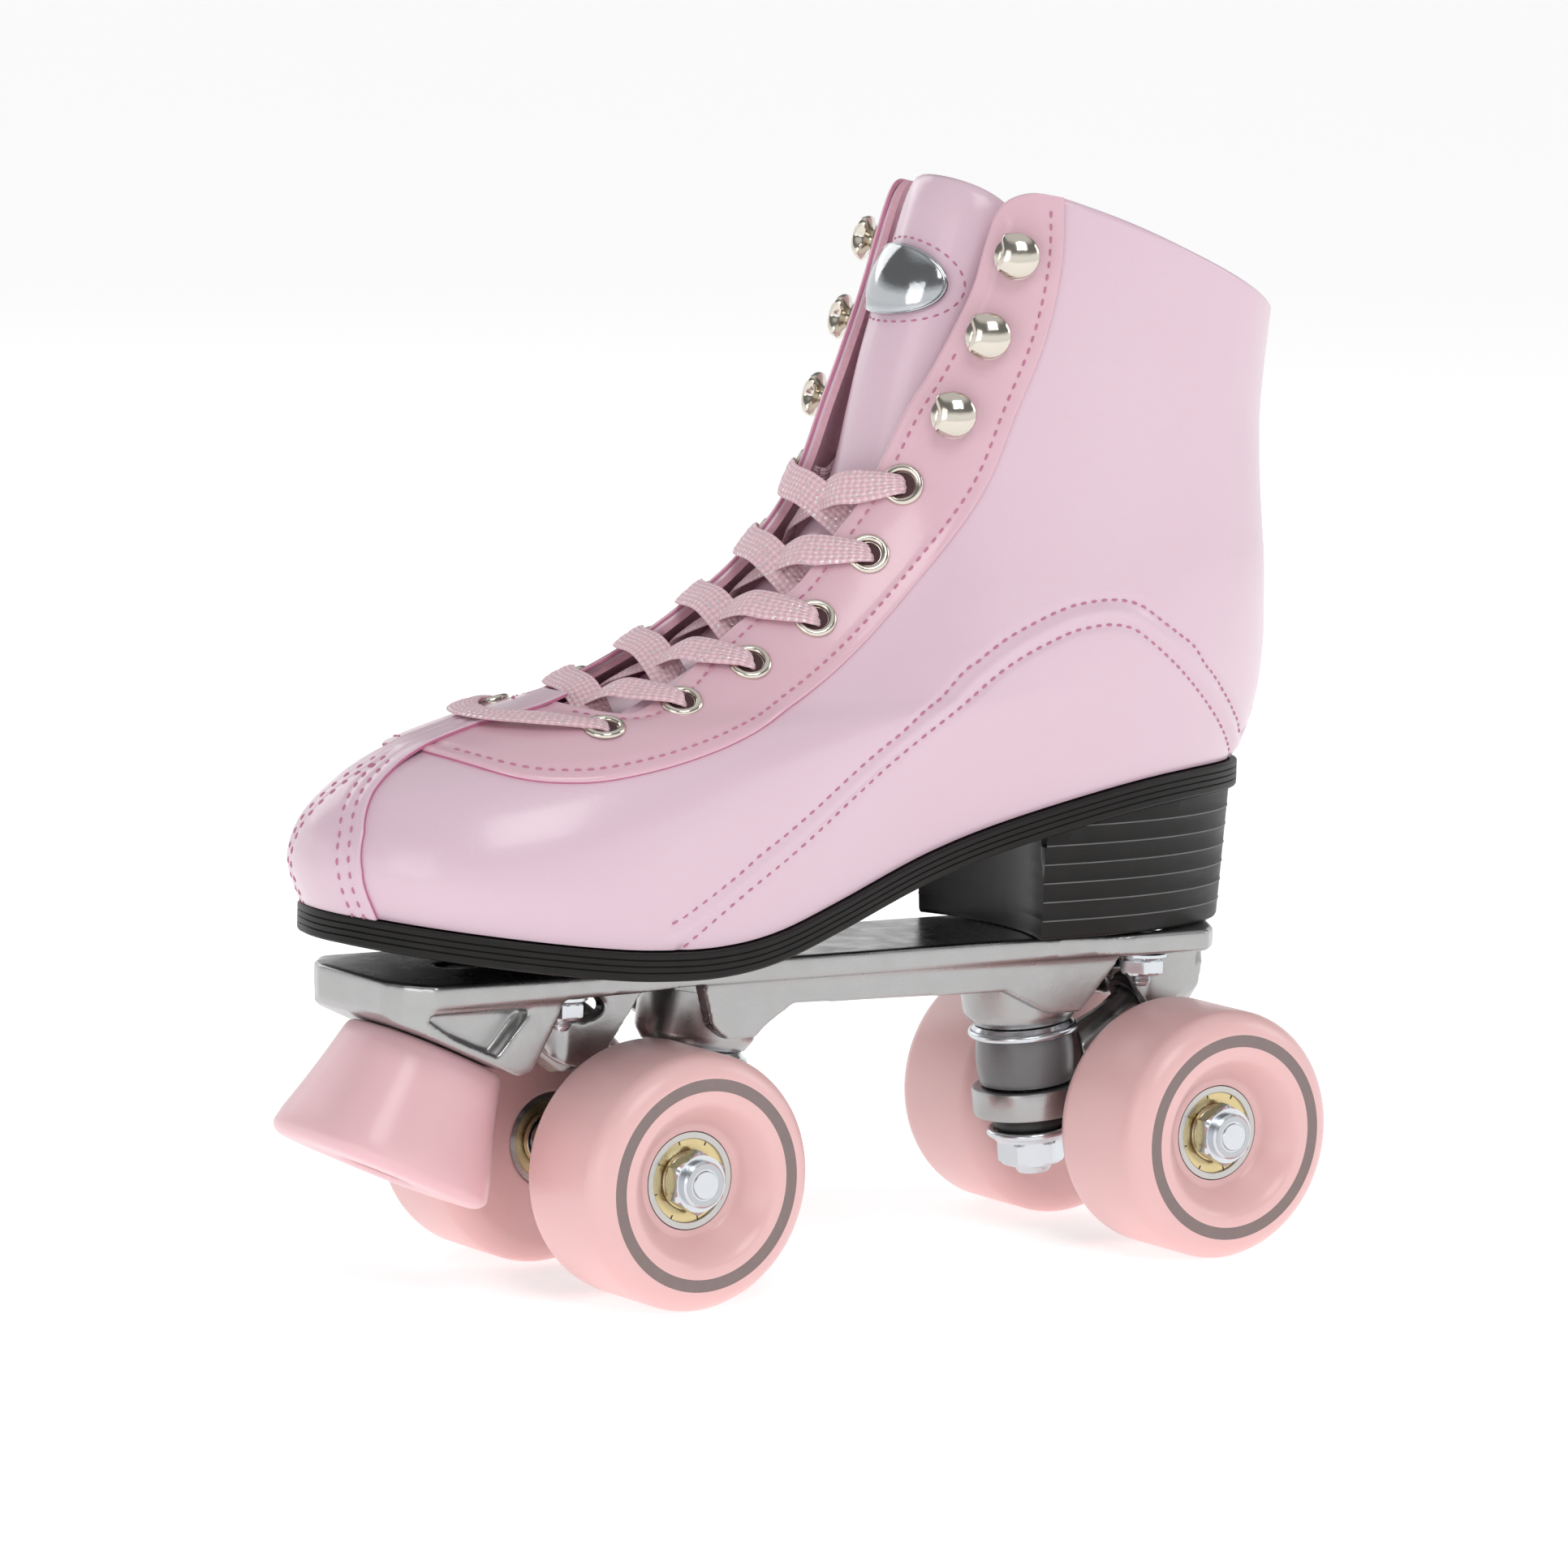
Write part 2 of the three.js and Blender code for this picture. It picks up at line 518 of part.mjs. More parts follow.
// Cast truck: ring round the kingpin, bar on the axle, and the pin that sits in the pivot cup.
function hangerSolid(frame, end) {
  const { ringCentre, pivot, kingpin, steer, axle } = frame;
  const rim = turned([
    [0, -RING_HALF], [RING_RADIUS - 0.8, -RING_HALF], [RING_RADIUS, -RING_HALF + 0.8],
    [RING_RADIUS, RING_HALF - 0.8], [RING_RADIUS - 0.8, RING_HALF], [0, RING_HALF],
  ]);
  const bar = turned([
    [0, -HANGER_HALF_SPAN], [AXLE_RADIUS + 2.2, -HANGER_HALF_SPAN], [AXLE_RADIUS + 2.4, -HANGER_HALF_SPAN + 3],
    [HANGER_BAR_RADIUS, -HANGER_HALF_SPAN + 7], [HANGER_BAR_RADIUS, HANGER_HALF_SPAN - 7],
    [AXLE_RADIUS + 2.4, HANGER_HALF_SPAN - 3], [AXLE_RADIUS + 2.2, HANGER_HALF_SPAN], [0, HANGER_HALF_SPAN],
  ]);
  const pinBase = axle.clone().sub(ringCentre).projectOnVector(steer).add(ringCentre);
  const pinLength = pivot.distanceTo(pinBase) + PIVOT_CUP_SEAT - 2;
  const pin = turned([
    [0, -4], [PIVOT_PIN_RADIUS + 2.2, -4], [PIVOT_PIN_RADIUS + 1.4, 3], [PIVOT_PIN_RADIUS, pinLength * 0.45],
    [PIVOT_PIN_RADIUS, pinLength - 3], [PIVOT_PIN_RADIUS * 0.7, pinLength - 0.9], [0, pinLength],
  ]);
  const side = ([x, z]) => [end * x, z];
  const outline = [
    [KINGPIN_X + 3, RING_Z - 4.2], [WHEELBASE / 2 - 3, AXLE_Z - HANGER_BAR_RADIUS + 1],
    [WHEELBASE / 2 + 5, AXLE_Z - 2], [WHEELBASE / 2 + 5.4, AXLE_Z + 5],
    [WHEELBASE / 2 + 1, pinBase.z + 5], [WHEELBASE / 2 - 8, pinBase.z + 2], [KINGPIN_X + 9, RING_Z + 4.6],
    [KINGPIN_X + 4, RING_Z + 2.6],
  ].map(side);
  const web = sidePrism(outline, -6, 6);
  const cheekOutline = [
    [KINGPIN_X + 2, RING_Z - 3.8], [WHEELBASE / 2, AXLE_Z - 5], [WHEELBASE / 2, AXLE_Z + 5],
    [KINGPIN_X + 4, RING_Z + 2.4],
  ].map(side);
  const cheeks = sidePrism(cheekOutline, -10.5, 10.5);
  const casting = join([
    solid(along(rim, ringCentre, kingpin)),
    solid(along(bar, axle, vec(0, 1, 0))),
    solid(along(pin, pinBase, steer)),
    solid(web),
    solid(cheeks),
  ]);
  const room = KINGPIN_RADIUS + RING_PLAY;
  return cut(casting, [
    solid(along(rod(room, -20, 20), ringCentre, kingpin)),
    solid(along(rod(RING_RADIUS + 1, RING_HALF, 26), ringCentre, kingpin)),
    solid(along(rod(RING_RADIUS + 1, -26, -RING_HALF), ringCentre, kingpin)),
    solid(along(rod(AXLE_RADIUS + GAP, -40, 40), axle, vec(0, 1, 0))),
  ]);
}

function kingpinSolid() {
  const top = BOSS_LOW + 17;
  return turned([
    [0, KINGPIN_FOOT], [KINGPIN_RADIUS - 1, KINGPIN_FOOT], [KINGPIN_RADIUS, KINGPIN_FOOT + 1],
    [KINGPIN_RADIUS, top], [0, top],
  ]);
}

function addTruck(name, end) {
  const frame = truckFrame(end);
  const onKingpin = (body) => along(body.isBufferGeometry ? body : geometryOf(body), frame.ringCentre, frame.kingpin);
  const nut = nutSolid(KINGPIN_NUT_FLATS, KINGPIN_NUT_HEIGHT, KINGPIN_BORE, KINGPIN_NUT_TOP - KINGPIN_NUT_HEIGHT);
  node(`${name}_kingpin`, onKingpin(kingpinSolid()), ZINC);
  node(`${name}_kingpin_nut`, onKingpin(nut), ZINC);
  node(`${name}_upper_washer`, onKingpin(cupWasher(UPPER_WASHER_RADIUS, UPPER_WASHER_LOW, true)), ZINC);
  node(`${name}_upper_cushion`, onKingpin(cushionSolid(UPPER_CUSHION_RADIUS, CUSHION_LOW, UPPER_CUSHION_HEIGHT)), GREY_URETHANE);
  node(`${name}_lower_cushion`, onKingpin(cushionSolid(LOWER_CUSHION_RADIUS, -CUSHION_LOW - LOWER_CUSHION_HEIGHT, LOWER_CUSHION_HEIGHT)), BLACK_RUBBER);
  node(`${name}_lower_washer`, onKingpin(cupWasher(LOWER_WASHER_RADIUS, LOWER_WASHER_TOP - WASHER_THICKNESS, false)), ZINC);
  node(`${name}_pivot_cup`, along(pivotCup(), frame.pivot, frame.steer), BLACK_RUBBER);
  node(`${name}_hanger`, hangerSolid(frame, end), CAST_ALUMINIUM);
  const tip = WHEEL_OUTER_FACE - AXLE_TIP;
  const axle = turned([
    [0, -tip], [AXLE_RADIUS - 0.8, -tip], [AXLE_RADIUS, -tip + 0.9],
    [AXLE_RADIUS, tip - 0.9], [AXLE_RADIUS - 0.8, tip], [0, tip],
  ]);
  node(`${name}_axle`, along(axle, frame.axle, vec(0, 1, 0)), ZINC);
  for (const [side, sign] of [["left", 1], ["right", -1]]) {
    addWheel(`${name}_${side}`, frame.axle.x, sign);
  }
}

const CUP_INNER = PIVOT_PIN_RADIUS + GAP;
const CUP_OUTER = CUP_INNER + PIVOT_CUP_WALL;

// Rubber cup about the pivot, open towards the truck.
function pivotCup() {
  const floor = PIVOT_CUP_SEAT;
  const mouth = floor - PIVOT_CUP_DEPTH;
  const foot = floor + PIVOT_CUP_FLOOR;
  return turned([
    [0, floor], [CUP_INNER, floor], [CUP_INNER, mouth + 1], [CUP_INNER + 0.6, mouth], [CUP_OUTER, mouth],
    [CUP_OUTER, foot - 1], [CUP_OUTER - 1, foot], [0, foot],
  ]);
}

// ---------------------------------------------------------------- plate

const FLANGE_LOW = PLATE_TOP - FLANGE_THICKNESS;

// Half of the plate's plan outline, nose to tail, mirrored to close it.
function plateOutline(inset) {
  const half = [
    [PLATE_NOSE_X, 0], [PLATE_NOSE_X, PLATE_NOSE_HALF - PLATE_CORNER - 4],
    [PLATE_NOSE_X - 2, PLATE_NOSE_HALF - PLATE_CORNER + 1],
    [PLATE_NOSE_X - PLATE_CORNER, PLATE_NOSE_HALF], [AXLE_X + 15, PLATE_NOSE_HALF],
    [AXLE_X + 3, PLATE_NOSE_HALF - 1], [AXLE_X - 11, PLATE_WAIST_HALF + 0.6], [AXLE_X - 23, PLATE_WAIST_HALF],
    [-AXLE_X + 39, PLATE_WAIST_HALF], [-AXLE_X + 21, PLATE_WAIST_HALF + 1], [-AXLE_X + 13, PLATE_TAIL_HALF],
    [PLATE_TAIL_X + 10, PLATE_TAIL_HALF], [PLATE_TAIL_X + 5, PLATE_TAIL_HALF - 5],
    [PLATE_TAIL_X, PLATE_TAIL_HALF - 14], [PLATE_TAIL_X, 0],
  ].map(([x, y]) => [x, Math.max(y - inset, 0)]);
  const other = half.slice(1, -1).reverse().map(([x, y]) => [x, -y]);
  return [...half, ...other];
}

const STOP_AXIS = vec(Math.sin(degrees(STOP_TILT)), 0, -Math.cos(degrees(STOP_TILT)));
const STOP_SEAT = vec(STOP_SEAT_X, 0, STOP_SEAT_Z);

// Nose block under the plate that carries the toe stop: a side outline with a slanted foot.
function noseBlock() {
  const slope = Math.tan(degrees(STOP_TILT));
  const seatAt = (x) => STOP_SEAT_Z + GAP + (x - STOP_SEAT_X) * slope;
  const outline = [
    [PLATE_NOSE_X, FLANGE_LOW + 1], [PLATE_NOSE_X, seatAt(PLATE_NOSE_X) + 1.4], [PLATE_NOSE_X - 2, seatAt(PLATE_NOSE_X - 2)],
    [PLATE_NOSE_X - 30, seatAt(PLATE_NOSE_X - 30)], [PLATE_NOSE_X - 33.5, seatAt(PLATE_NOSE_X - 33.5) + 2.4],
    [PLATE_NOSE_X - 39.5, FLANGE_LOW - 5], [PLATE_NOSE_X - 42, FLANGE_LOW + 1],
  ];
  const block = solid(sidePrism(outline, -PLATE_NOSE_HALF + 1.4, PLATE_NOSE_HALF - 1.4));
  const trimmed = block.intersect(solid(planPrism(plateOutline(0.4), 40, PLATE_TOP)));
  const pocket = (side) =>
    solid(
      sidePrism(
        [
          [PLATE_NOSE_X - 5, FLANGE_LOW - 1.6], [PLATE_NOSE_X - 33, FLANGE_LOW - 1.6],
          [PLATE_NOSE_X - 24, 56.5 + GAP], [PLATE_NOSE_X - 13, 61.5],
        ],
        side > 0 ? PLATE_NOSE_HALF - 6 : -PLATE_NOSE_HALF - 4,
        side > 0 ? PLATE_NOSE_HALF + 4 : -PLATE_NOSE_HALF + 6,
      ),
    );
  return cut(trimmed, [pocket(1), pocket(-1)]);
}

// Side webs and cross walls that stiffen the flange, as prisms of side outlines.
function plateWebs() {
  const from = (x, points) => points.map(([dx, z]) => [x + dx, z]);
  const middle = [
    ...from(KINGPIN_X, [
      [7.5, FLANGE_LOW + 1], [4.5, 58.5], [0.5, 55.5], [-7.5, 55.5], [-10.5, 58.4], [-17.5, 62.6],
    ]),
    ...from(-KINGPIN_X, [
      [20.5, 61.4], [10.5, 56.6], [7.5, 55.4], [-0.5, 55.4], [-5.5, 60.4], [-10.5, 66], [-12.5, FLANGE_LOW + 1],
    ]),
  ];
  const front = from(PIVOT_X, [
    [18, FLANGE_LOW + 1], [15, 60], [11.6, 53.6], [8, 51.4], [3, 50.4], [-2.4, 52.4], [-5, 57],
    [-10, 64], [-14, FLANGE_LOW + 1],
  ]);
  const rear = from(-PIVOT_X, [
    [16, FLANGE_LOW + 1], [12, 63], [9, 58], [7, 54.4], [2, 53.6], [-6, 59.6], [-7, FLANGE_LOW + 1],
  ]);
  const pair = (outline, y) => {
    const at = (low, high) => solid(sidePrism(outline, low, high));
    return [at(y - WEB_THICKNESS, y), at(-y, -y + WEB_THICKNESS)];
  };
  return [
    ...pair(middle, PLATE_WAIST_HALF - 1.4),
    ...pair(front, 12.6),
    ...pair(rear, 13.4),
    solid(frontPrism([[-12, FLANGE_LOW + 1], [-12, 63], [12, 63], [12, FLANGE_LOW + 1]], -4, 0)),
  ];
}

const BOSS_REACH = 24; // bosses run on into the flange by this much and are trimmed by it
const CUP_HOUSING_WALL = 2.4;

// Round bosses for the kingpins and pivot cups.
function plateBosses(end) {
  const frame = truckFrame(end);
  const within = solid(planPrism(plateOutline(0), 20, PLATE_TOP));
  const boss = turned([
    [0, BOSS_LOW], [UPPER_WASHER_RADIUS - 1.4, BOSS_LOW], [UPPER_WASHER_RADIUS + 0.6, BOSS_LOW + 3],
    [UPPER_WASHER_RADIUS + 1.6, BOSS_LOW + BOSS_REACH], [0, BOSS_LOW + BOSS_REACH],
  ]);
  const cup = rod(CUP_OUTER + CUP_HOUSING_WALL, PIVOT_CUP_SEAT - PIVOT_CUP_DEPTH + 2, BOSS_REACH);
  return [
    solid(along(boss, frame.ringCentre, frame.kingpin)).intersect(within),
    solid(along(cup, frame.pivot, frame.steer)).intersect(within),
  ];
}

const MOUNT_BOLTS = [
  ["front_left", MOUNT_BOLT_FRONT_X, 1], ["front_right", MOUNT_BOLT_FRONT_X, -1],
  ["rear_left", MOUNT_BOLT_REAR_X, 1], ["rear_right", MOUNT_BOLT_REAR_X, -1],
];

function plateHoles() {
  const holes = MOUNT_BOLTS.map(([, x, side]) =>
    solid(rod(MOUNT_BOLT_RADIUS + GAP, 40, 80).translate(x, side * MOUNT_BOLT_Y, 0)),
  );
  const spots = MOUNT_BOLTS.map(([, x, side]) =>
    solid(rod(MOUNT_NUT_FLATS / 2 + 1.8, 40, FLANGE_LOW).translate(x, side * MOUNT_BOLT_Y, 0)),
  );
  for (const end of [1, -1]) {
    const frame = truckFrame(end);
    const floor = PIVOT_CUP_SEAT + PIVOT_CUP_FLOOR + GAP;
    holes.push(solid(along(rod(KINGPIN_BORE, -10, BOSS_LOW + 17 + GAP), frame.ringCentre, frame.kingpin)));
    holes.push(solid(along(rod(CUP_OUTER + GAP, -30, floor), frame.pivot, frame.steer)));
  }
  holes.push(solid(along(rod(STOP_BOLT_RADIUS + GAP, -30, 4), STOP_SEAT, STOP_AXIS)));
  const window = new THREE.CylinderGeometry(3, 3, 60, 16).scale(2, 1, 1).translate(PIVOT_X + 4, 0, 0);
  holes.push(solid(window.translate(0, 0, FLANGE_LOW - 4.4)));
  return [...holes, ...spots];
}

function plateSolid() {
  const flange = solid(planPrism(plateOutline(0), FLANGE_LOW, PLATE_TOP));
  const whole = join([flange, noseBlock(), ...plateWebs(), ...plateBosses(1), ...plateBosses(-1)]);
  return cut(whole, plateHoles());
}

// Carriage bolt from above with its flanged nut under the plate, made up as one piece.
function mountBolt() {
  const nutTop = FLANGE_LOW - GAP;
  const stem = rod(MOUNT_BOLT_RADIUS, PLATE_TOP - MOUNT_BOLT_TAIL, PLATE_TOP + GAP + 0.6, 8);
  const head = turned([
    [0, PLATE_TOP + GAP], [BOLT_HEAD_RADIUS, PLATE_TOP + GAP],
    [BOLT_HEAD_RADIUS - 1, PLATE_TOP + BOLT_HEAD_HEIGHT - 0.4], [0, PLATE_TOP + BOLT_HEAD_HEIGHT],
  ], 12);
  const flange = rod(MOUNT_NUT_FLATS / 2 + 1.2, nutTop - 1, nutTop);
  const nut = nutSolid(MOUNT_NUT_FLATS, MOUNT_NUT_HEIGHT, 0.5, nutTop - 0.6 - MOUNT_NUT_HEIGHT);
  return join([solid(stem), solid(head), solid(flange), nut]);
}

// ---------------------------------------------------------------- toe stop

// Rounded square of a given half width, as [x, y] points.
function roundedSquare(half, corner, steps = 4) {
  const points = [];
  for (const [sx, sy, from] of [[1, 1, 0], [-1, 1, 90], [-1, -1, 180], [1, -1, 270]]) {
    for (const a of range(steps, degrees(from), degrees(from + 90))) {
      points.push([sx * (half - corner) + corner * Math.cos(a), sy * (half - corner) + corner * Math.sin(a)]);
    }
  }
  return points;
}

// Tapered rubber block about +Z, seat at z = 0 and foot at the full height.
function stopSolid() {
  const level = (half, corner, z) => roundedSquare(half, corner).map(([x, y]) => vec(x, y, z));
  const levels = [
    level(STOP_TOP_HALF - 1.6, 9, 0),
    level(STOP_TOP_HALF, 10, 1.8),
    level(STOP_FOOT_HALF, 12, STOP_HEIGHT - 3),
    level(STOP_FOOT_HALF - 0.8, 11.4, STOP_HEIGHT - 1),
    level(STOP_FOOT_HALF - 2.8, 10, STOP_HEIGHT),
  ];
  const centre = (z) => levels[0].map(() => vec(0, 0, z));
  const out = [];
  gridFaces([centre(0), ...levels, centre(STOP_HEIGHT)], true, true, out);
  const block = solid(fromTriangles(out));
  const bore = solid(rod(STOP_BOLT_RADIUS + GAP, -1, STOP_HEIGHT + 1));
  const headRoom = solid(rod(STOP_BOLT_HEAD + 1.5, STOP_HEIGHT - 12, STOP_HEIGHT + 1));
  return cut(block, [bore, headRoom]);
}

function stopBolt() {
  const head = STOP_HEIGHT - 12 - GAP;
  return join([
    solid(rod(STOP_BOLT_RADIUS, -14, head + GAP + 2)),
    solid(hexRod(STOP_BOLT_HEAD * 2 - 1, head + 2 * GAP, head + 6)),
  ]);
}

// ---------------------------------------------------------------- sole and heel

// Rows across the sole from heel to toe: widen is added to the upper's outline.
function soleRows(widen, height, count = 26, untilAngle = 0) {
  const columns = 4;
  return range(count, Math.PI, untilAngle).map((angle) => {
    const left = upperPoint(0, angle);
    const right = upperPoint(0, -angle);
    const s = Math.cos(angle);
    const x = left.x + widen * s;
    const half = (left.y - right.y) / 2 + widen * Math.sin(angle);
    const middle = (left.y + right.y) / 2;
    return range(columns, 1, -1).map((k) => vec(x, middle + k * Math.max(half, 0), height(x)));
  });
}

function outsoleSolid() {
  const top = soleRows(SOLE_WELT, (x) => soleTop(x) - 1.5 * GAP);
  const foot = soleRows(SOLE_WELT - 0.9, (x) => soleTop(x) - SOLE_THICKNESS);
  return cut(solid(sheetSolid(top, foot)), boltHeadRooms());
}

// Recesses over the heads of the mounting bolts.
function boltHeadRooms() {
  return MOUNT_BOLTS.map(([, x, side]) =>
    solid(rod(BOLT_HEAD_RADIUS + 1, PLATE_TOP - 2, PLATE_TOP + BOLT_HEAD_HEIGHT + GAP, 10).translate(x, side * MOUNT_BOLT_Y, 0)),
  );
}

function insoleSolid() {
  const low = 0.6;
  const top = soleRows(-LEATHER - 1.6, (x) => soleTop(x) + low + INSOLE_THICKNESS);
  const foot = soleRows(-LEATHER - 1.2, (x) => soleTop(x) + low);
  return sheetSolid(top, foot);
}

// Heel block: the sole's plan shape from the breast back, tapering to its foot.
function heelSolid() {
  const [heelX, toeX] = [BACK_PROFILE[0][0], FRONT_PROFILE[0][0]];
  const pastBreast = Math.acos((2 * (HEEL_BREAST_X + 12) - heelX - toeX) / (toeX - heelX));
  const outline = (z, shrink) => soleRows(SOLE_WELT - 1 - shrink, () => z, 16, pastBreast);
  const body = solid(sheetSolid(outline(118, -0.4), outline(PLATE_TOP + GAP, HEEL_TAPER)));
  const top = [...SOLE_CURVE.filter(([x]) => x < 10)].map(([x, z]) => [x, z - SOLE_THICKNESS - GAP]);
  const above = solid(sidePrism([[-130, 150], [-130, top[0][1]], ...top, [10, 150]], -60, 60));
  const breast = range(8, 0, 1).map((u) => [
    HEEL_BREAST_X + 3.6 * u * u,
    THREE.MathUtils.lerp(PLATE_TOP - 4, 112, u),
  ]);
  const front = solid(sidePrism([...breast, [60, 112], [60, PLATE_TOP - 4]], -60, 60));
  return cut(body, [above, front, ...boltHeadRooms()]);
}

// ---------------------------------------------------------------- upper

const AROUND = range(32, 0, 2 * Math.PI).slice(0, -1);
const UPWARD = range(15, 0, 1);

function shellSolid(outerDistance, innerDistance) {
  const stack = (distance) => UPWARD.map((t) => AROUND.map((angle) => skinPoint(t, angle, distance)));
  return solid(ringSolid(stack(outerDistance), stack(innerDistance)));
}

const FAR = 400;
const throatCurve = smooth(THROAT_EDGE, 18);
const eyestayCurve = smooth(EYESTAY_EDGE, 18);
const collarCurve = smooth(COLLAR_EDGE, 9);
const capCurve = smooth(CAP_SEAM, 7);

// Side-view region in front of and above a curve that runs from the toe up to the collar.
function inFrontOf(curve, distance) {
  const line = offset(curve, distance);
  const [first, last] = [line[0], line[line.length - 1]];
  return solid(sidePrism([...line, [last[0], FAR], [FAR, FAR], [FAR, first[1]]], -60, 60));
}

// Everything above the collar line.
function aboveCollar() {
  return solid(sidePrism([...collarCurve, [-200, 205], [-200, FAR], [60, FAR], [60, 247]], -60, 60));
}

// Toe cap region: a strip over the toe, this much wider than its seam on both sides.
function capRegion(distance) {
  const swing = TOE_SWING;
  const left = capCurve.map(([y, z]) => [y + distance - swing, z]);
  const right = capCurve.map(([y, z]) => [-y - distance - swing, z]).reverse();
  return solid(frontPrism([...left, ...right], 117.5 - distance, 160));
}

function eyeHole(place, side, radius) {
  const sides = 8;
  const { t, angle } = findOnSkin(place, side);
  const clear = radius / Math.cos(Math.PI / sides);
  return solid(along(rod(clear, -8, 5, sides), skinPoint(t, angle, 0), skinNormal(t, angle)));
}

const SIDES = [["left", 1], ["right", -1]];

function addUpper() {
  const shell = shellSolid(0, -LEATHER).subtract(aboveCollar());
  const halfGap = GAP / 2;
  const holes = SIDES.flatMap(([, side]) => [
    ...EYELETS.map((place) => eyeHole(place, side, EYELET_BORE + EYELET_WALL + GAP / 2)),
    ...HOOKS.map((place) => eyeHole(place, side, RIVET_RADIUS + GAP / 2)),
  ]);
  const cap = shell.intersect(capRegion(-halfGap));
  const open = shell.subtract(capRegion(halfGap));
  const laced = open.intersect(inFrontOf(eyestayCurve, -halfGap)).subtract(inFrontOf(throatCurve, 0));
  const rest = open.subtract(inFrontOf(eyestayCurve, halfGap));
  const halfSpace = (side) => {
    const outline = [[-FAR, halfGap], [FAR, halfGap], [FAR, FAR], [-FAR, FAR]];
    return solid(planPrism(outline.map(([x, y]) => [x, side * y]), 0, FAR));
  };
  node("toe_cap", cap, PINK_LEATHER);
  node("eyestay", cut(laced, holes), PINK_LEATHER);
  node("quarter_left", largest(rest.intersect(halfSpace(1))), PINK_LEATHER);
  node("quarter_right", largest(rest.intersect(halfSpace(-1))), PINK_LEATHER);
}

function largest(body) {
  return body.decompose().sort((a, b) => b.volume() - a.volume())[0];
}

const RING_OF_EYE = 5 / 12; // ring at the throat's lowest point

// How far the tongue's face lies below the upper's face: it crowns forward towards its top.
function tongueSink(t, angle) {
  const rise = THREE.MathUtils.smoothstep(t, TONGUE_RISES_AT, TONGUE_END - 0.05);
  const crown = Math.max(1 - (angle / TONGUE_CROWN_ANGLE) ** 2, 0);
  return THREE.MathUtils.lerp(TONGUE_SINK, TONGUE_TOP_SINK, rise * crown);
}

function tongueSolid() {
  const rows = (depth) =>
    range(14, RING_OF_EYE - 0.03, TONGUE_END).map((t) => {
      const rounding = Math.max((t - TONGUE_END + 0.07) / 0.08, 0);
      const narrow = Math.sqrt(Math.max(1 - rounding ** 2, 0.2));
      const opening = THREE.MathUtils.clamp(0.55 + (t - RING_OF_EYE) * 2, 0.3, 1);
      const span = TONGUE_HALF_ANGLE * narrow * opening * (1 - 0.12 * t);
      return range(8, -span, span).map((angle) => skinPoint(t, angle, -tongueSink(t, angle) - depth));
    });
  return sheetSolid(rows(0), rows(TONGUE_THICKNESS));
}

function counterSolid() {
  const rows = (distance) =>
    range(5, 0.06, 0.4).map((t) => range(14, degrees(112), degrees(248)).map((angle) => skinPoint(t, angle, -distance)));
  return sheetSolid(rows(LEATHER + 3 * GAP), rows(LEATHER + 3 * GAP + COUNTER_THICKNESS));
}

// Six eyelets on the strip that backs them inside the eyestay.
function eyeletRow(side) {
  const spots = EYELETS.map((place) => findOnSkin(place, side));
  const stripTop = LEATHER + GAP;
  const width = 0.075;
  const strip = (distance) =>
    range(10, 0, 1).map((u) => {
      const t = along01(spots.map((s) => s.t), u);
      const angle = along01(spots.map((s) => s.angle), u);
      const stretch = 1 + 1.6 * (1 - u);
      return range(1, -width * stretch, width * stretch).map((w) => skinPoint(t, angle + w * side, -distance));
    });
  const outer = strip(stripTop);
  const inner = strip(stripTop + 0.7);
  const backing = solid(side > 0 ? sheetSolid(outer, inner) : sheetSolid(inner, outer));
  const eyes = spots.map(({ t, angle }) => {
    const place = skinPoint(t, angle, 0);
    const normal = skinNormal(t, angle);
    const wall = EYELET_BORE + EYELET_WALL;
    const eye = turned([
      [0, -stripTop - 0.5], [wall, -stripTop - 0.5], [wall, GAP + 0.2], [EYELET_RADIUS, GAP + 0.2],
      [EYELET_RADIUS - 0.7, 1.3], [0, 1.3],
    ], 10);
    return { ring: solid(along(eye, place, normal)), bore: solid(along(rod(EYELET_BORE, -9, 5, 10), place, normal)) };
  });
  return cut(join([backing, ...eyes.map((e) => e.ring)]), eyes.map((e) => e.bore));
}

// Lacing hook: riveted base, neck and domed head.
function hookSolid(place, side) {
  const { t, angle } = findOnSkin(place, side);
  const low = GAP + 0.5;
  const rivetTop = -LEATHER - 2 * GAP;
  const hook = turned([
    [0, rivetTop - 1], [3, rivetTop - 1], [3, rivetTop], [RIVET_RADIUS, rivetTop], [RIVET_RADIUS, low],
    [HOOK_BASE_RADIUS, low], [HOOK_BASE_RADIUS, low + 0.8], [2.6, low + 1.6], [2.4, low + 2.6],
    [HOOK_BASE_RADIUS - 0.8, low + 3.4], [HOOK_BASE_RADIUS - 1, low + 4.6], [2.6, HOOK_HEIGHT + low - 0.4], [0, HOOK_HEIGHT + low],
  ], 10);
  return along(hook, skinPoint(t, angle, 0), skinNormal(t, angle));
}

const BADGE_T = 0.936;

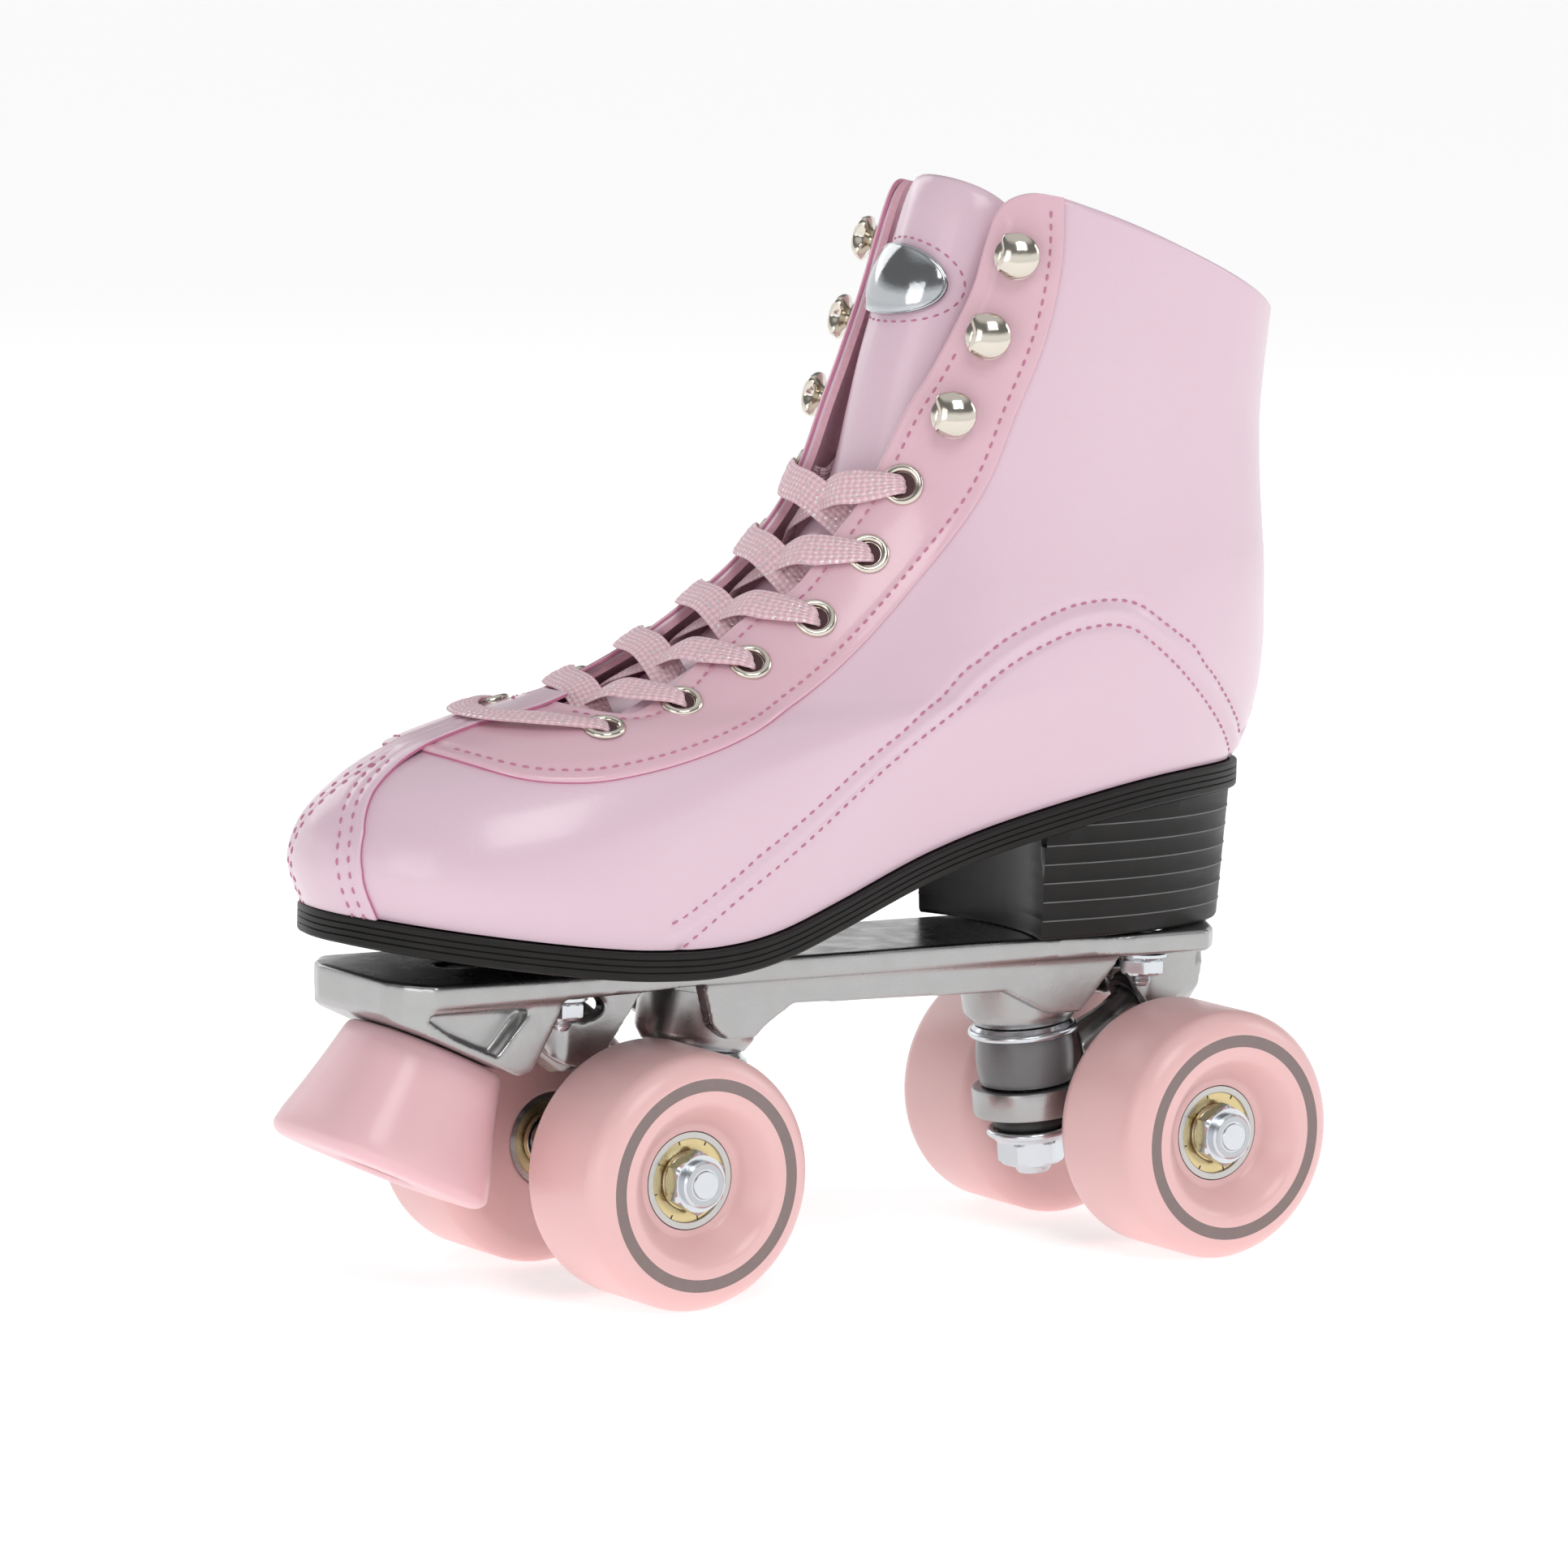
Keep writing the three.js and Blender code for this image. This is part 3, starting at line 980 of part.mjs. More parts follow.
// Domed badge on the tongue's face: an oval, a little fuller towards its top.
function badgeSolid() {
  const centre = (dt, angle) => skinPoint(BADGE_T + dt, angle, -tongueSink(BADGE_T, 0));
  const step = 0.01;
  const upRate = centre(step, 0).distanceTo(centre(-step, 0)) / (2 * step);
  const roundRate = centre(0, step).distanceTo(centre(0, -step)) / (2 * step);
  const edge = (scale, lift) =>
    range(24, 0, 2 * Math.PI).slice(0, -1).map((a) => {
      const fuller = 1 + 0.06 * Math.sin(a);
      const t = BADGE_T + (scale * BADGE_HALF_HEIGHT * Math.sin(a)) / upRate;
      const angle = (scale * BADGE_HALF_WIDTH * fuller * Math.cos(a)) / roundRate;
      return skinPoint(t, angle, lift - tongueSink(t, angle));
    });
  const face = 6 * GAP;
  const out = [];
  const levels = [
    edge(0, face), edge(1, face), edge(0.98, face + 0.7), edge(0.7, face + BADGE_THICKNESS),
    edge(0, face + BADGE_THICKNESS + 0.5),
  ];
  gridFaces(levels, true, true, out);
  return fromTriangles(out);
}

// ---------------------------------------------------------------- lace

// Ring and place on the front profile nearest to a side-view point.
function nearestOnFront([x, z]) {
  const tried = range(240, 0, 1).map((t) => {
    const point = upperPoint(t, 0);
    return { t, point, far: Math.hypot(point.x - x, point.z - z) };
  });
  return tried.reduce((best, next) => (next.far < best.far ? next : best));
}

// Stops of one strand that starts at the first eyelet on a side and climbs to the last.
// Each stop is [ring, angle, height over the skin].
function strandStops(startSide) {
  const stops = [];
  let side = startSide;
  const towards = (eye, middle, share, on, height) => {
    const place = [0, 1].map((k) => THREE.MathUtils.lerp(eye[k], middle[k], share));
    const { t, angle } = findOnSkin(place, on);
    stops.push([t, angle, height]);
  };
  for (let n = 0; n < EYELETS.length; n += 1) {
    const here = findOnSkin(EYELETS[n], side);
    stops.push([here.t, here.angle, 0.4], [here.t, here.angle, LACE_INSIDE]);
    if (n + 1 === EYELETS.length) {
      stops.push([here.t + 0.01, here.angle * 1.25, LACE_INSIDE], [here.t + 0.02, here.angle * 1.6, LACE_INSIDE]);
      break;
    }
    const next = EYELETS[n + 1];
    const front = nearestOnFront([(EYELETS[n][0] + next[0]) / 2, (EYELETS[n][1] + next[1]) / 2]);
    const middle = [front.point.x, front.point.z];
    towards(EYELETS[n], middle, 0.3, side, LACE_INSIDE);
    towards(EYELETS[n], middle, 0.62, side, LACE_INSIDE);
    stops.push([front.t, 0, startSide * side > 0 ? LACE_OVER : LACE_UNDER]);
    towards(next, middle, 0.8, -side, 1.2);
    towards(next, middle, 0.6, -side, 1.5);
    towards(next, middle, 0.3, -side, 2);
    towards(next, middle, 0.1, -side, 2.4);
    side = -side;
  }
  return stops;
}

// The whole lace: one strand reversed, the bar across the lowest eyelets, the other strand.
function laceSolid() {
  const left = strandStops(1);
  const right = strandStops(-1);
  const start = findOnSkin(EYELETS[0], 1);
  const bar = [-0.9, -0.6, 0, 0.6, 0.9].map((u) => [start.t, start.angle * u, 2.4]);
  const stops = [...right.reverse(), ...bar, ...left];
  const centres = stops.map(([t, angle, h]) => skinPoint(t, angle, h));
  const path = new THREE.CatmullRomCurve3(centres, false, "catmullrom", 0.35);
  const count = Math.round(stops.length * 1.5);
  const rows = range(count, 0, 1).map((u) => {
    const place = u * (stops.length - 1);
    const i = Math.min(Math.floor(place), stops.length - 2);
    const f = place - i;
    const t = THREE.MathUtils.lerp(stops[i][0], stops[i + 1][0], f);
    const angle = THREE.MathUtils.lerp(stops[i][1], stops[i + 1][1], f);
    const centre = path.getPoint(u);
    const tangent = path.getTangent(u);
    const normal = skinNormal(t, angle);
    const across = tangent.clone().cross(normal).normalize();
    const lift = across.clone().cross(tangent).normalize();
    const corner = (a, b) =>
      centre.clone().addScaledVector(across, (a * LACE_WIDTH) / 2).addScaledVector(lift, (b * LACE_THICKNESS) / 2);
    return [corner(-1, -1), corner(-1, 1), corner(1, 1), corner(1, -1)];
  });
  const cap = (row) => row.map(() => row.reduce((sum, p) => sum.clone().add(p)).divideScalar(4));
  const out = [];
  gridFaces([cap(rows[0]), ...rows, cap(rows[rows.length - 1])], true, true, out);
  return fromTriangles(out);
}

// ---------------------------------------------------------------- assembly

addTruck("front", 1);
addTruck("rear", -1);
node("plate", plateSolid(), CAST_ALUMINIUM);
for (const [name, x, side] of MOUNT_BOLTS) {
  node(`mount_bolt_${name}`, geometryOf(mountBolt()).translate(x, side * MOUNT_BOLT_Y, 0), ZINC);
}
node("toe_stop", along(geometryOf(stopSolid()), STOP_SEAT, STOP_AXIS), PINK_URETHANE);
node("toe_stop_bolt", along(geometryOf(stopBolt()), STOP_SEAT, STOP_AXIS), ZINC);
node("outsole", outsoleSolid(), BLACK_SOLE);
node("heel_block", heelSolid(), BLACK_SOLE);
node("insole", insoleSolid(), INSOLE_PINK);
addUpper();
node("heel_counter", counterSolid(), BLACK_RUBBER);
node("tongue", tongueSolid(), PINK_LEATHER);
node("tongue_badge", badgeSolid(), NICKEL);
for (const [name, side] of SIDES) {
  node(`eyelet_row_${name}`, eyeletRow(side), NICKEL);
  HOOKS.forEach((place, i) => node(`hook_${name}_${i + 1}`, hookSolid(place, side), NICKEL));
}
node("lace", laceSolid(), LACE_PINK);

const box = new THREE.Box3().setFromObject(skate);
skate.position.x = -(box.min.x + box.max.x) / 2;
skate.position.y = -(box.min.y + box.max.y) / 2;

export default skate;
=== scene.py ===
"""Quad roller skate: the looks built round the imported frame.

Shapes are worked out in millimetres from the point on the floor midway between the axles,
+X towards the toe, +Y to the wearer's left, +Z up, and put into the frame by to_frame().
"""
import math

import bmesh
import bpy
import numpy as np
from mathutils import Matrix, Vector


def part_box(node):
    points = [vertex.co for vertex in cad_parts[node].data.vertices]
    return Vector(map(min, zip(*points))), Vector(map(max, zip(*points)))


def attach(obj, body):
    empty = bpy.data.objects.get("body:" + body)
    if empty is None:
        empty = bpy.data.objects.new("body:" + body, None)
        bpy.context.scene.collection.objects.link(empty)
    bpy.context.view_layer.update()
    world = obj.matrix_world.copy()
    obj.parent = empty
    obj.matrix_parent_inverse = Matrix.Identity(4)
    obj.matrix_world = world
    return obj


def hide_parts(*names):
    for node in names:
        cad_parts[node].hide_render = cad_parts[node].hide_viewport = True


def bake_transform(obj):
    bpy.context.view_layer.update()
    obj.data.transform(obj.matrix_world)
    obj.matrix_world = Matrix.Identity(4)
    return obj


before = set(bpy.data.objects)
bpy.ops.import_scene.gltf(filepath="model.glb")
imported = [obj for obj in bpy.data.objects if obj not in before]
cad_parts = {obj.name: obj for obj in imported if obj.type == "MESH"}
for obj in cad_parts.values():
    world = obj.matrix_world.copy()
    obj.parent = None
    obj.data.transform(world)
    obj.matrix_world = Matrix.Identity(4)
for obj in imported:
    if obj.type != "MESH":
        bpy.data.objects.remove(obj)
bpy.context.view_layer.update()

BOOT = "boot_and_plate"
ENDS = (("front", 1), ("rear", -1))
SIDES = (("left", 1), ("right", -1))
MM = 0.001
PI = math.pi


def middle_of(node):
    low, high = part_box(node)
    return (np.array(low) + np.array(high)) / 2


# ------------------------------------------------------------------ driving sizes, mm

AXLE_MIDDLE = (middle_of("front_axle") + middle_of("rear_axle")) / 2
HALF_BASE = (middle_of("front_axle")[0] - middle_of("rear_axle")[0]) / 2 / MM
AXLE_Z = AXLE_MIDDLE[2] / MM
WHEEL_RADIUS = 29
WHEEL_FACE = 48  # outer face of the wheel from the skate's middle plane
WHEEL_BACK = 16  # inner face
LIP = 6
DISH_RADIUS = 19
DISH_DEPTH = 7
BEARING_WIDTH = 7
AXLE_RADIUS = 4
KINGPIN_X = 48.5
RING_Z = 33
KINGPIN_TILT = math.radians(7.5)
CUSHION_LOW = 3.7
UPPER_CUSHION = (11.6, 12.6)  # radius, height
LOWER_CUSHION = (8.6, 4.0)
WASHER = 1.6
GAP = 0.3
PLATE_TOP = 73.7
FLANGE = 5.2
STOP_TILT = math.radians(24)
STOP_SEAT = (117, 0, 56)
STOP_HEIGHT = 30
STOP_HALF = (17, 23)
SOLE_THICKNESS = 6.7
SOLE_WELT = 1.6
HEEL_BREAST_X = -33
TOE_SWING = 3
LEATHER = 2.2
OVERLAY = 1.1  # an overlaid panel's thickness
TONGUE_SINK = 7.2
TONGUE_THICKNESS = 5
MOUNT_BOLTS = ((92.5, 17), (-67.5, 17))

FRONT_PROFILE = np.array([
    (142, 88), (145.5, 98.5), (141, 109.5), (129.5, 119), (110, 126), (90, 130.5), (66, 140),
    (46, 151.5), (30, 163.5), (18, 178), (10, 196), (2, 216), (-11, 254)], float)
BACK_PROFILE = np.array([
    (-101, 111), (-104, 116), (-106, 122), (-107.3, 128), (-107.5, 134), (-107, 141),
    (-105.5, 150), (-104, 160), (-102.5, 170), (-101, 181), (-100, 193), (-100, 205), (-101, 222)], float)
HALF_WIDTH = np.array([41.5, 43, 43, 41.5, 39.5, 37.5, 36.5, 36, 35.5, 35.5, 36, 36.8, 37.5])
WIDEST_AT = np.array([0.53, 0.5, 0.42, 0.3, 0.12, -0.08, -0.2, -0.25, -0.22, -0.18, -0.14, -0.12, -0.1])
WAIST = np.array([0.29, 0.25, 0.2, 0.13, 0.065, 0.025, 0, 0, 0, 0, 0, 0, 0])
SOLE_LINE = ((-101, 112), (-76, 111.8), (-54, 109.6), (-26, 104), (2, 97), (30, 88.4), (50, 82.8),
             (66, 80.8), (82, 81), (98, 82.4), (124, 85.6), (142, 88))
EYELETS = ((87, 127.5), (66.5, 132.5), (48, 140.5), (31, 150), (16, 164), (6.4, 179.5))
HOOKS = ((-4.2, 195.2), (-12, 213), (-18.6, 231))
THROAT = ((95, 134), (79, 130.2), (65, 135.6), (53, 143.4), (41, 151.4), (32, 156.3), (23.6, 164.4),
          (12.6, 178), (3.7, 196), (-2.4, 207), (-9.8, 222.7), (-13.2, 233), (-15.4, 239.5))
COLLAR_CORNER = ((-15.4, 239.5), (-18, 243.6), (-22.5, 245.6), (-28.5, 244.8))
COLLAR = ((-28.5, 244.8), (-43, 239.6), (-57, 234), (-73, 227.4), (-96, 217.6), (-103, 214.6))
EYESTAY_EDGE = ((121, 122), (111, 118.6), (101, 117.8), (90.5, 118.6), (74, 121.8), (57.5, 126.6),
                (40, 134), (24.5, 143.6), (9.6, 156.4), (-2.8, 169.4), (-10.8, 181), (-16.8, 196),
                (-23.4, 212.5), (-27.4, 229.4), (-28.5, 244.8))
CAP_HALF_WIDTH = ((84, 16), (98, 15.4), (106, 13.2), (114, 8.4), (120, 5.6), (124, 5), (134, 4.6))
COUNTER_LINE = ((-94.5, 112), (-80.3, 124.5), (-67.5, 134), (-53.2, 143.6), (-47.5, 146.8), (-42, 147.9),
                (-36, 147.6), (-29, 146.2), (-14.6, 140.4), (0.8, 131), (18.9, 119.6), (41.7, 103.6),
                (59.3, 92.6), (77, 80.4))

# ------------------------------------------------------------------ numbers to shapes


def to_frame(points):
    return np.asarray(points, float) * MM + [AXLE_MIDDLE[0], 0, 0]


def frame_point(x, y, z):
    return tuple(float(c) for c in to_frame((x, y, z)))


def eased(values, t):
    """Value of an evenly spaced list at t from 0 to 1 on a Catmull-Rom curve through its entries."""
    t = np.asarray(t, float) * (len(values) - 1)
    i = np.clip(np.floor(t).astype(int), 0, len(values) - 2)
    f = t - i
    a, b = values[i], values[i + 1]
    before = values[np.clip(i - 1, 0, len(values) - 1)]
    after = values[np.clip(i + 2, 0, len(values) - 1)]
    bend = (1 - f) * (2 * a - before - b) + f * (2 * b - a - after)
    return a * (1 - f) + b * f + f * (1 - f) * bend / 2


def curve_through(points, count):
    """Points on a Catmull-Rom curve through the given ones, spaced evenly by length."""
    points = np.asarray(points, float)
    t = np.linspace(0, 1, 40 * len(points))
    fine = np.stack([eased(points[:, k], t) for k in range(points.shape[1])], -1)
    return evenly(fine, count)


def evenly(line, count, lengths=None):
    """The same line, with this many points spaced evenly by length."""
    steps = np.linalg.norm(np.diff(line if lengths is None else lengths, axis=0), axis=1)
    run = np.concatenate([[0], np.cumsum(steps)])
    at = np.linspace(0, run[-1], count)
    return np.stack([np.interp(at, run, line[:, k]) for k in range(line.shape[1])], -1)


SOLE_CURVE = curve_through(SOLE_LINE, 400)


def sole_top(x):
    return np.interp(x, SOLE_CURVE[:, 0], SOLE_CURVE[:, 1])


def upper(t, angle):
    """Point of the upper: t runs up from the feather line to the collar, angle goes round from the toe.
    A ring is a superellipse between the front and back profiles, drawn in under the arch and bent at
    the toe, and the lowest rings follow the sole's line."""
    t, angle = np.broadcast_arrays(np.asarray(t, float), np.asarray(angle, float))
    s = np.cos(angle)
    share = (1 + s) / 2
    widest = eased(WIDEST_AT, t)
    ahead = s > widest
    reach = np.where(ahead, (s - widest) / (1 - widest), (widest - s) / (1 + widest))
    power = np.where(ahead, 2.15, 2.7)
    width = eased(HALF_WIDTH, t) * np.sqrt(np.maximum(1 - np.maximum(reach, 0) ** power, 0))
    waist = 1 - eased(WAIST, t) * np.exp(-(((s + 0.25) / 0.42) ** 2))
    x, z = (
        eased(BACK_PROFILE[:, k], t) * (1 - share) + eased(FRONT_PROFILE[:, k], t) * share for k in (0, 1))
    foot_x, foot_z = (BACK_PROFILE[0][k] * (1 - share) + FRONT_PROFILE[0][k] * share for k in (0, 1))
    fade = np.maximum(1 - t / 0.45, 0) ** 2
    swing = TOE_SWING * np.maximum((x - 40) / 100, 0) ** 2
    side = np.where(np.sin(angle) < 0, -1.0, 1.0)
    return np.stack([x, side * width * waist - swing, z + fade * (sole_top(foot_x) - foot_z)], -1)


def unit(vectors):
    return vectors / np.maximum(np.linalg.norm(vectors, axis=-1, keepdims=True), 1e-9)


def skin_normal(t, angle):
    step = 1e-3
    round_ring = upper(t, angle + step) - upper(t, angle - step)
    up_ring = upper(t + step, angle) - upper(t - step, angle)
    return unit(np.cross(round_ring, up_ring))


def skin(t, angle, height=0.0):
    """Point at a height over the upper's surface."""
    height = np.asarray(height, float)
    return upper(t, angle) + skin_normal(t, angle) * height[..., None]


def on_skin(points):
    """Ring and angle of the left-side points of the upper at side-view places, by Newton steps."""
    points = np.asarray(points, float)
    t = np.full(len(points), 0.5)
    angle = np.full(len(points), 1.2)
    step = 1e-4
    for _ in range(80):
        here = upper(t, angle)
        by_t = (upper(t + step, angle) - here) / step
        by_angle = (upper(t, angle + step) - here) / step
        det = by_t[:, 0] * by_angle[:, 2] - by_t[:, 2] * by_angle[:, 0]
        ex, ez = points[:, 0] - here[:, 0], points[:, 1] - here[:, 2]
        t = np.clip(t + 0.6 * (ex * by_angle[:, 2] - ez * by_angle[:, 0]) / det, 0, 1)
        angle = np.clip(angle + 0.6 * (by_t[:, 0] * ez - by_t[:, 2] * ex) / det, 0.04, 3.1)
    return np.stack([t, angle], -1)


def from_centre_line(curve, count=160):
    """Skin coordinates of a side-view curve that leaves the front centre line, as (ring, angle)."""
    profile_t = np.linspace(0, 1, 800)
    profile = upper(profile_t, 0.0)
    line = curve_through(curve, 400)
    order = np.argsort(profile[:, 0])
    top = np.interp(line[:, 0], profile[order, 0], profile[order, 2])
    below = np.nonzero(top - line[:, 1] > 0.5)[0]
    inside = line[below[0]:]
    start = np.argmin(np.abs(profile[:, 0] - line[max(below[0] - 1, 0), 0]) + 1e3 * (profile[:, 2] < 115))
    coords = np.vstack([[profile_t[start], 0.0], on_skin(inside)])
    return by_length(coords, count)


def by_length(coords, count):
    """Skin coordinates respaced evenly by their length on the skin."""
    return evenly(coords, count, lengths=upper(coords[:, 0], coords[:, 1]))


def at(line, share):
    """Entries of an evenly spaced line at shares from 0 to 1."""
    place = np.linspace(0, 1, len(line))
    return np.stack([np.interp(share, place, line[:, k]) for k in range(line.shape[1])], -1)


def patch(first, last, start, end, u, v):
    """Coons patch between four lines: first and last run along u, start and end along v."""
    c0, c1, d0, d1 = at(first, u), at(last, u), at(start, v), at(end, v)
    u, v = u[..., None], v[..., None]
    corners = ((1 - u) * (1 - v) * first[0] + u * (1 - v) * first[-1]
               + (1 - u) * v * last[0] + u * v * last[-1])
    return (1 - v) * c0 + v * c1 + (1 - u) * d0 + u * d1 - corners


# ------------------------------------------------------------------ shader building


class Channel:
    """A number socket that takes arithmetic: each operation adds its Math node."""

    def __init__(self, finish, socket):
        self.finish = finish
        self.socket = socket

    def math(self, operation, first, second):
        return self.finish.channel("ShaderNodeMath", 0, {"operation": operation}, {0: first, 1: second})

    def __add__(self, other):
        return self.math("ADD", self, other)

    def __radd__(self, other):
        return self.math("ADD", other, self)

    def __sub__(self, other):
        return self.math("SUBTRACT", self, other)

    def __rsub__(self, other):
        return self.math("SUBTRACT", other, self)

    def __mul__(self, other):
        return self.math("MULTIPLY", self, other)

    def __rmul__(self, other):
        return self.math("MULTIPLY", other, self)

    def __gt__(self, other):
        return self.math("GREATER_THAN", self, other)

    def __pow__(self, other):
        return self.math("POWER", self, other)

    def sine(self):
        return self.math("SINE", self, 0.0)


class Finish:
    """A material being built: its nodes, its surface shader and the patterns it is made from."""

    def __init__(self, name, color, roughness, metallic=0.0, coat=0.0, coat_roughness=0.1, **constants):
        self.material = bpy.data.materials.new(name)
        self.material.use_nodes = True
        self.tree = self.material.node_tree
        self.tree.nodes.clear()
        settings = {
            "Base Color": (*color, 1), "Roughness": roughness, "Metallic": metallic,
            "Coat Weight": coat, "Coat Roughness": coat_roughness}
        settings.update({key.replace("_", " "): value for key, value in constants.items()})
        self.surface = self.add("ShaderNodeBsdfPrincipled", {}, settings)
        output = self.add("ShaderNodeOutputMaterial")
        self.tree.links.new(self.surface.outputs[0], output.inputs[0])
        self.color = (*color, 1)

    def add(self, kind, settings=None, inputs=None):
        """A node of a kind, with its settings made first and then its sockets' values or links."""
        node = self.tree.nodes.new(kind)
        for key, value in (settings or {}).items():
            if key == "stops":
                ramp = node.color_ramp
                while len(ramp.elements) < len(value):
                    ramp.elements.new(1)
                for element, (place, shade) in zip(ramp.elements, value):
                    element.position = place
                    element.color = (shade, shade, shade, 1)
            else:
                setattr(node, key, value)
        for key, value in (inputs or {}).items():
            if isinstance(value, Channel):
                self.tree.links.new(value.socket, node.inputs[key])
            else:
                node.inputs[key].default_value = value
        return node

    def channel(self, kind, output, settings=None, inputs=None):
        return Channel(self, self.add(kind, settings, inputs).outputs[output])

    def place(self, stretch=(1, 1, 1), source="Object"):
        coords = self.channel("ShaderNodeTexCoord", source)
        return self.channel("ShaderNodeMapping", 0, {}, {"Vector": coords, "Scale": stretch})

    def noise(self, size_mm, detail=3.0, stretch=(1, 1, 1)):
        """Noise whose lumps are about this size, stretched along the axes."""
        return self.channel(
            "ShaderNodeTexNoise", 0, {},
            {"Vector": self.place(stretch), "Scale": 1 / (size_mm * MM), "Detail": detail})

    def ramp(self, value, stops):
        return self.channel("ShaderNodeValToRGB", 0, {"stops": stops}, {"Fac": value})

    def mix(self, factor, first, second):
        return self.channel(
            "ShaderNodeMix", 2, {"data_type": "RGBA"}, {0: factor, 6: first, 7: second})

    def set(self, socket, value):
        self.tree.links.new(value.socket, self.surface.inputs[socket])
        return self

    def vary(self, amount, size_mm, toward):
        """The base colour drifts towards another colour in soft patches."""
        return self.set("Base Color", self.mix(self.noise(size_mm) * amount, self.color, (*toward, 1)))

    def rough(self, low, high, size_mm, stretch=(1, 1, 1)):
        return self.set("Roughness", self.noise(size_mm, 4.0, stretch) * (high - low) + low)

    def bump(self, height, depth_mm, strength=1.0):
        normal = self.channel(
            "ShaderNodeBump", 0, {}, {"Height": height, "Strength": strength, "Distance": depth_mm * MM})
        return self.set("Normal", normal)


def coated_leather(name, color, shade, grain=0.05):
    """Smooth coated leather: soft patches of shade, a fine pebble and a clear glossy coat."""
    finish = Finish(name, color, 0.34, coat=0.55, coat_roughness=0.16)
    finish.vary(0.5, 42, shade)
    pebble = finish.noise(0.55, 2.0) * 0.7 + finish.noise(2.4, 2.0) * 0.5
    return finish.bump(pebble, grain).rough(0.27, 0.4, 9).material


PINK = coated_leather("pink_leather", (0.7, 0.52, 0.6), (0.665, 0.46, 0.55))
PINK_TRIM = coated_leather("pink_facing", (0.7, 0.455, 0.525), (0.665, 0.4, 0.475))


def cut_edge(name, color):
    """Raw cut of a leather sheet: fibrous, matte and more saturated than its face."""
    finish = Finish(name, color, 0.75)
    finish.vary(0.8, 1.2, tuple(0.7 * c for c in color))
    return finish.bump(finish.noise(0.3, 4.0), 0.12).material


RAW = cut_edge("leather_cut_edge", (0.62, 0.2, 0.34))
RAW_PALE = cut_edge("lining_cut_edge", (0.74, 0.42, 0.5))


def napped_fabric(name, color, shade):
    """Brushed lining: a fine criss-cross of threads under a soft nap."""
    finish = Finish(name, color, 0.9, Sheen_Weight=0.3)
    finish.vary(0.7, 14, shade)
    threads = finish.noise(0.5, 2.0, (1, 1, 4)) + finish.noise(0.5, 2.0, (4, 4, 1))
    return finish.bump(threads, 0.12).material


LINING = napped_fabric("lining", (0.74, 0.4, 0.5), (0.62, 0.3, 0.4))
INSOLE = napped_fabric("insole_cloth", (0.7, 0.38, 0.5), (0.6, 0.3, 0.42))


def stitch_thread():
    finish = Finish("stitch_thread", (0.52, 0.2, 0.31), 0.7)
    return finish.bump(finish.noise(0.25, 2.0), 0.08).material


THREAD = stitch_thread()


def sole_black():
    """Black leather board, waxed: faint streaks along the edge and a satin rub."""
    finish = Finish("sole_black", (0.009, 0.0085, 0.008), 0.42, Specular_IOR_Level=0.2)
    finish.vary(0.6, 6, (0.02, 0.018, 0.017))
    streaks = finish.noise(0.9, 4.0, (0.15, 0.15, 3))
    return finish.bump(streaks, 0.06).rough(0.3, 0.55, 5, (0.3, 0.3, 2)).material


SOLE = sole_black()
BREAST = Finish("heel_breast_black", (0.006, 0.006, 0.006), 0.22, Specular_IOR_Level=0.22)
BREAST = BREAST.rough(0.16, 0.36, 7, (1, 1, 0.3)).material
# pale grey on the ridges of the heel's layer lines: painted highlight
HEEL_RIDGE_PAINTED_HIGHLIGHT = Finish("heel_ridge_painted_highlight", (0.16, 0.16, 0.16), 0.5).vary(0.8, 5, (0.05, 0.05, 0.05)).material


def urethane(name, color, shade):
    """Cast urethane: even colour, faint cloudiness and a satin skin."""
    finish = Finish(name, color, 0.34, coat=0.25, coat_roughness=0.2, Subsurface_Weight=0.08,
                    Subsurface_Radius=(0.004, 0.002, 0.002), Subsurface_Scale=1.0)
    finish.vary(0.5, 16, shade)
    return finish.bump(finish.noise(1.6, 3.0), 0.02).rough(0.28, 0.42, 7).material


WHEEL_PINK = urethane("wheel_urethane", (0.81, 0.51, 0.505), (0.77, 0.46, 0.455))
STOP_PINK = urethane("toe_stop_urethane", (0.8, 0.51, 0.54), (0.76, 0.45, 0.49))
PRINT = Finish("wheel_print", (0.2, 0.155, 0.15), 0.45).vary(0.6, 3, (0.27, 0.2, 0.19)).material


def cast_metal():
    """Tumbled aluminium casting: bright, softly uneven, with faint flow marks and fine pits."""
    finish = Finish("cast_aluminium", (0.43, 0.43, 0.43), 0.3, 1.0)
    finish.vary(0.7, 11, (0.4, 0.395, 0.39))
    skin_marks = finish.noise(3.2, 5.0) * 0.8 + finish.noise(0.5, 2.0) * 0.25
    return finish.bump(skin_marks, 0.1, 0.7).rough(0.17, 0.42, 6).material


CAST = cast_metal()


def plated(name, color, roughness, patch_mm=4):
    finish = Finish(name, color, roughness, 1.0)
    finish.vary(0.35, patch_mm, tuple(0.8 * c for c in color))
    return finish.bump(finish.noise(0.8, 2.0), 0.015).rough(0.7 * roughness, 1.5 * roughness, 3).material


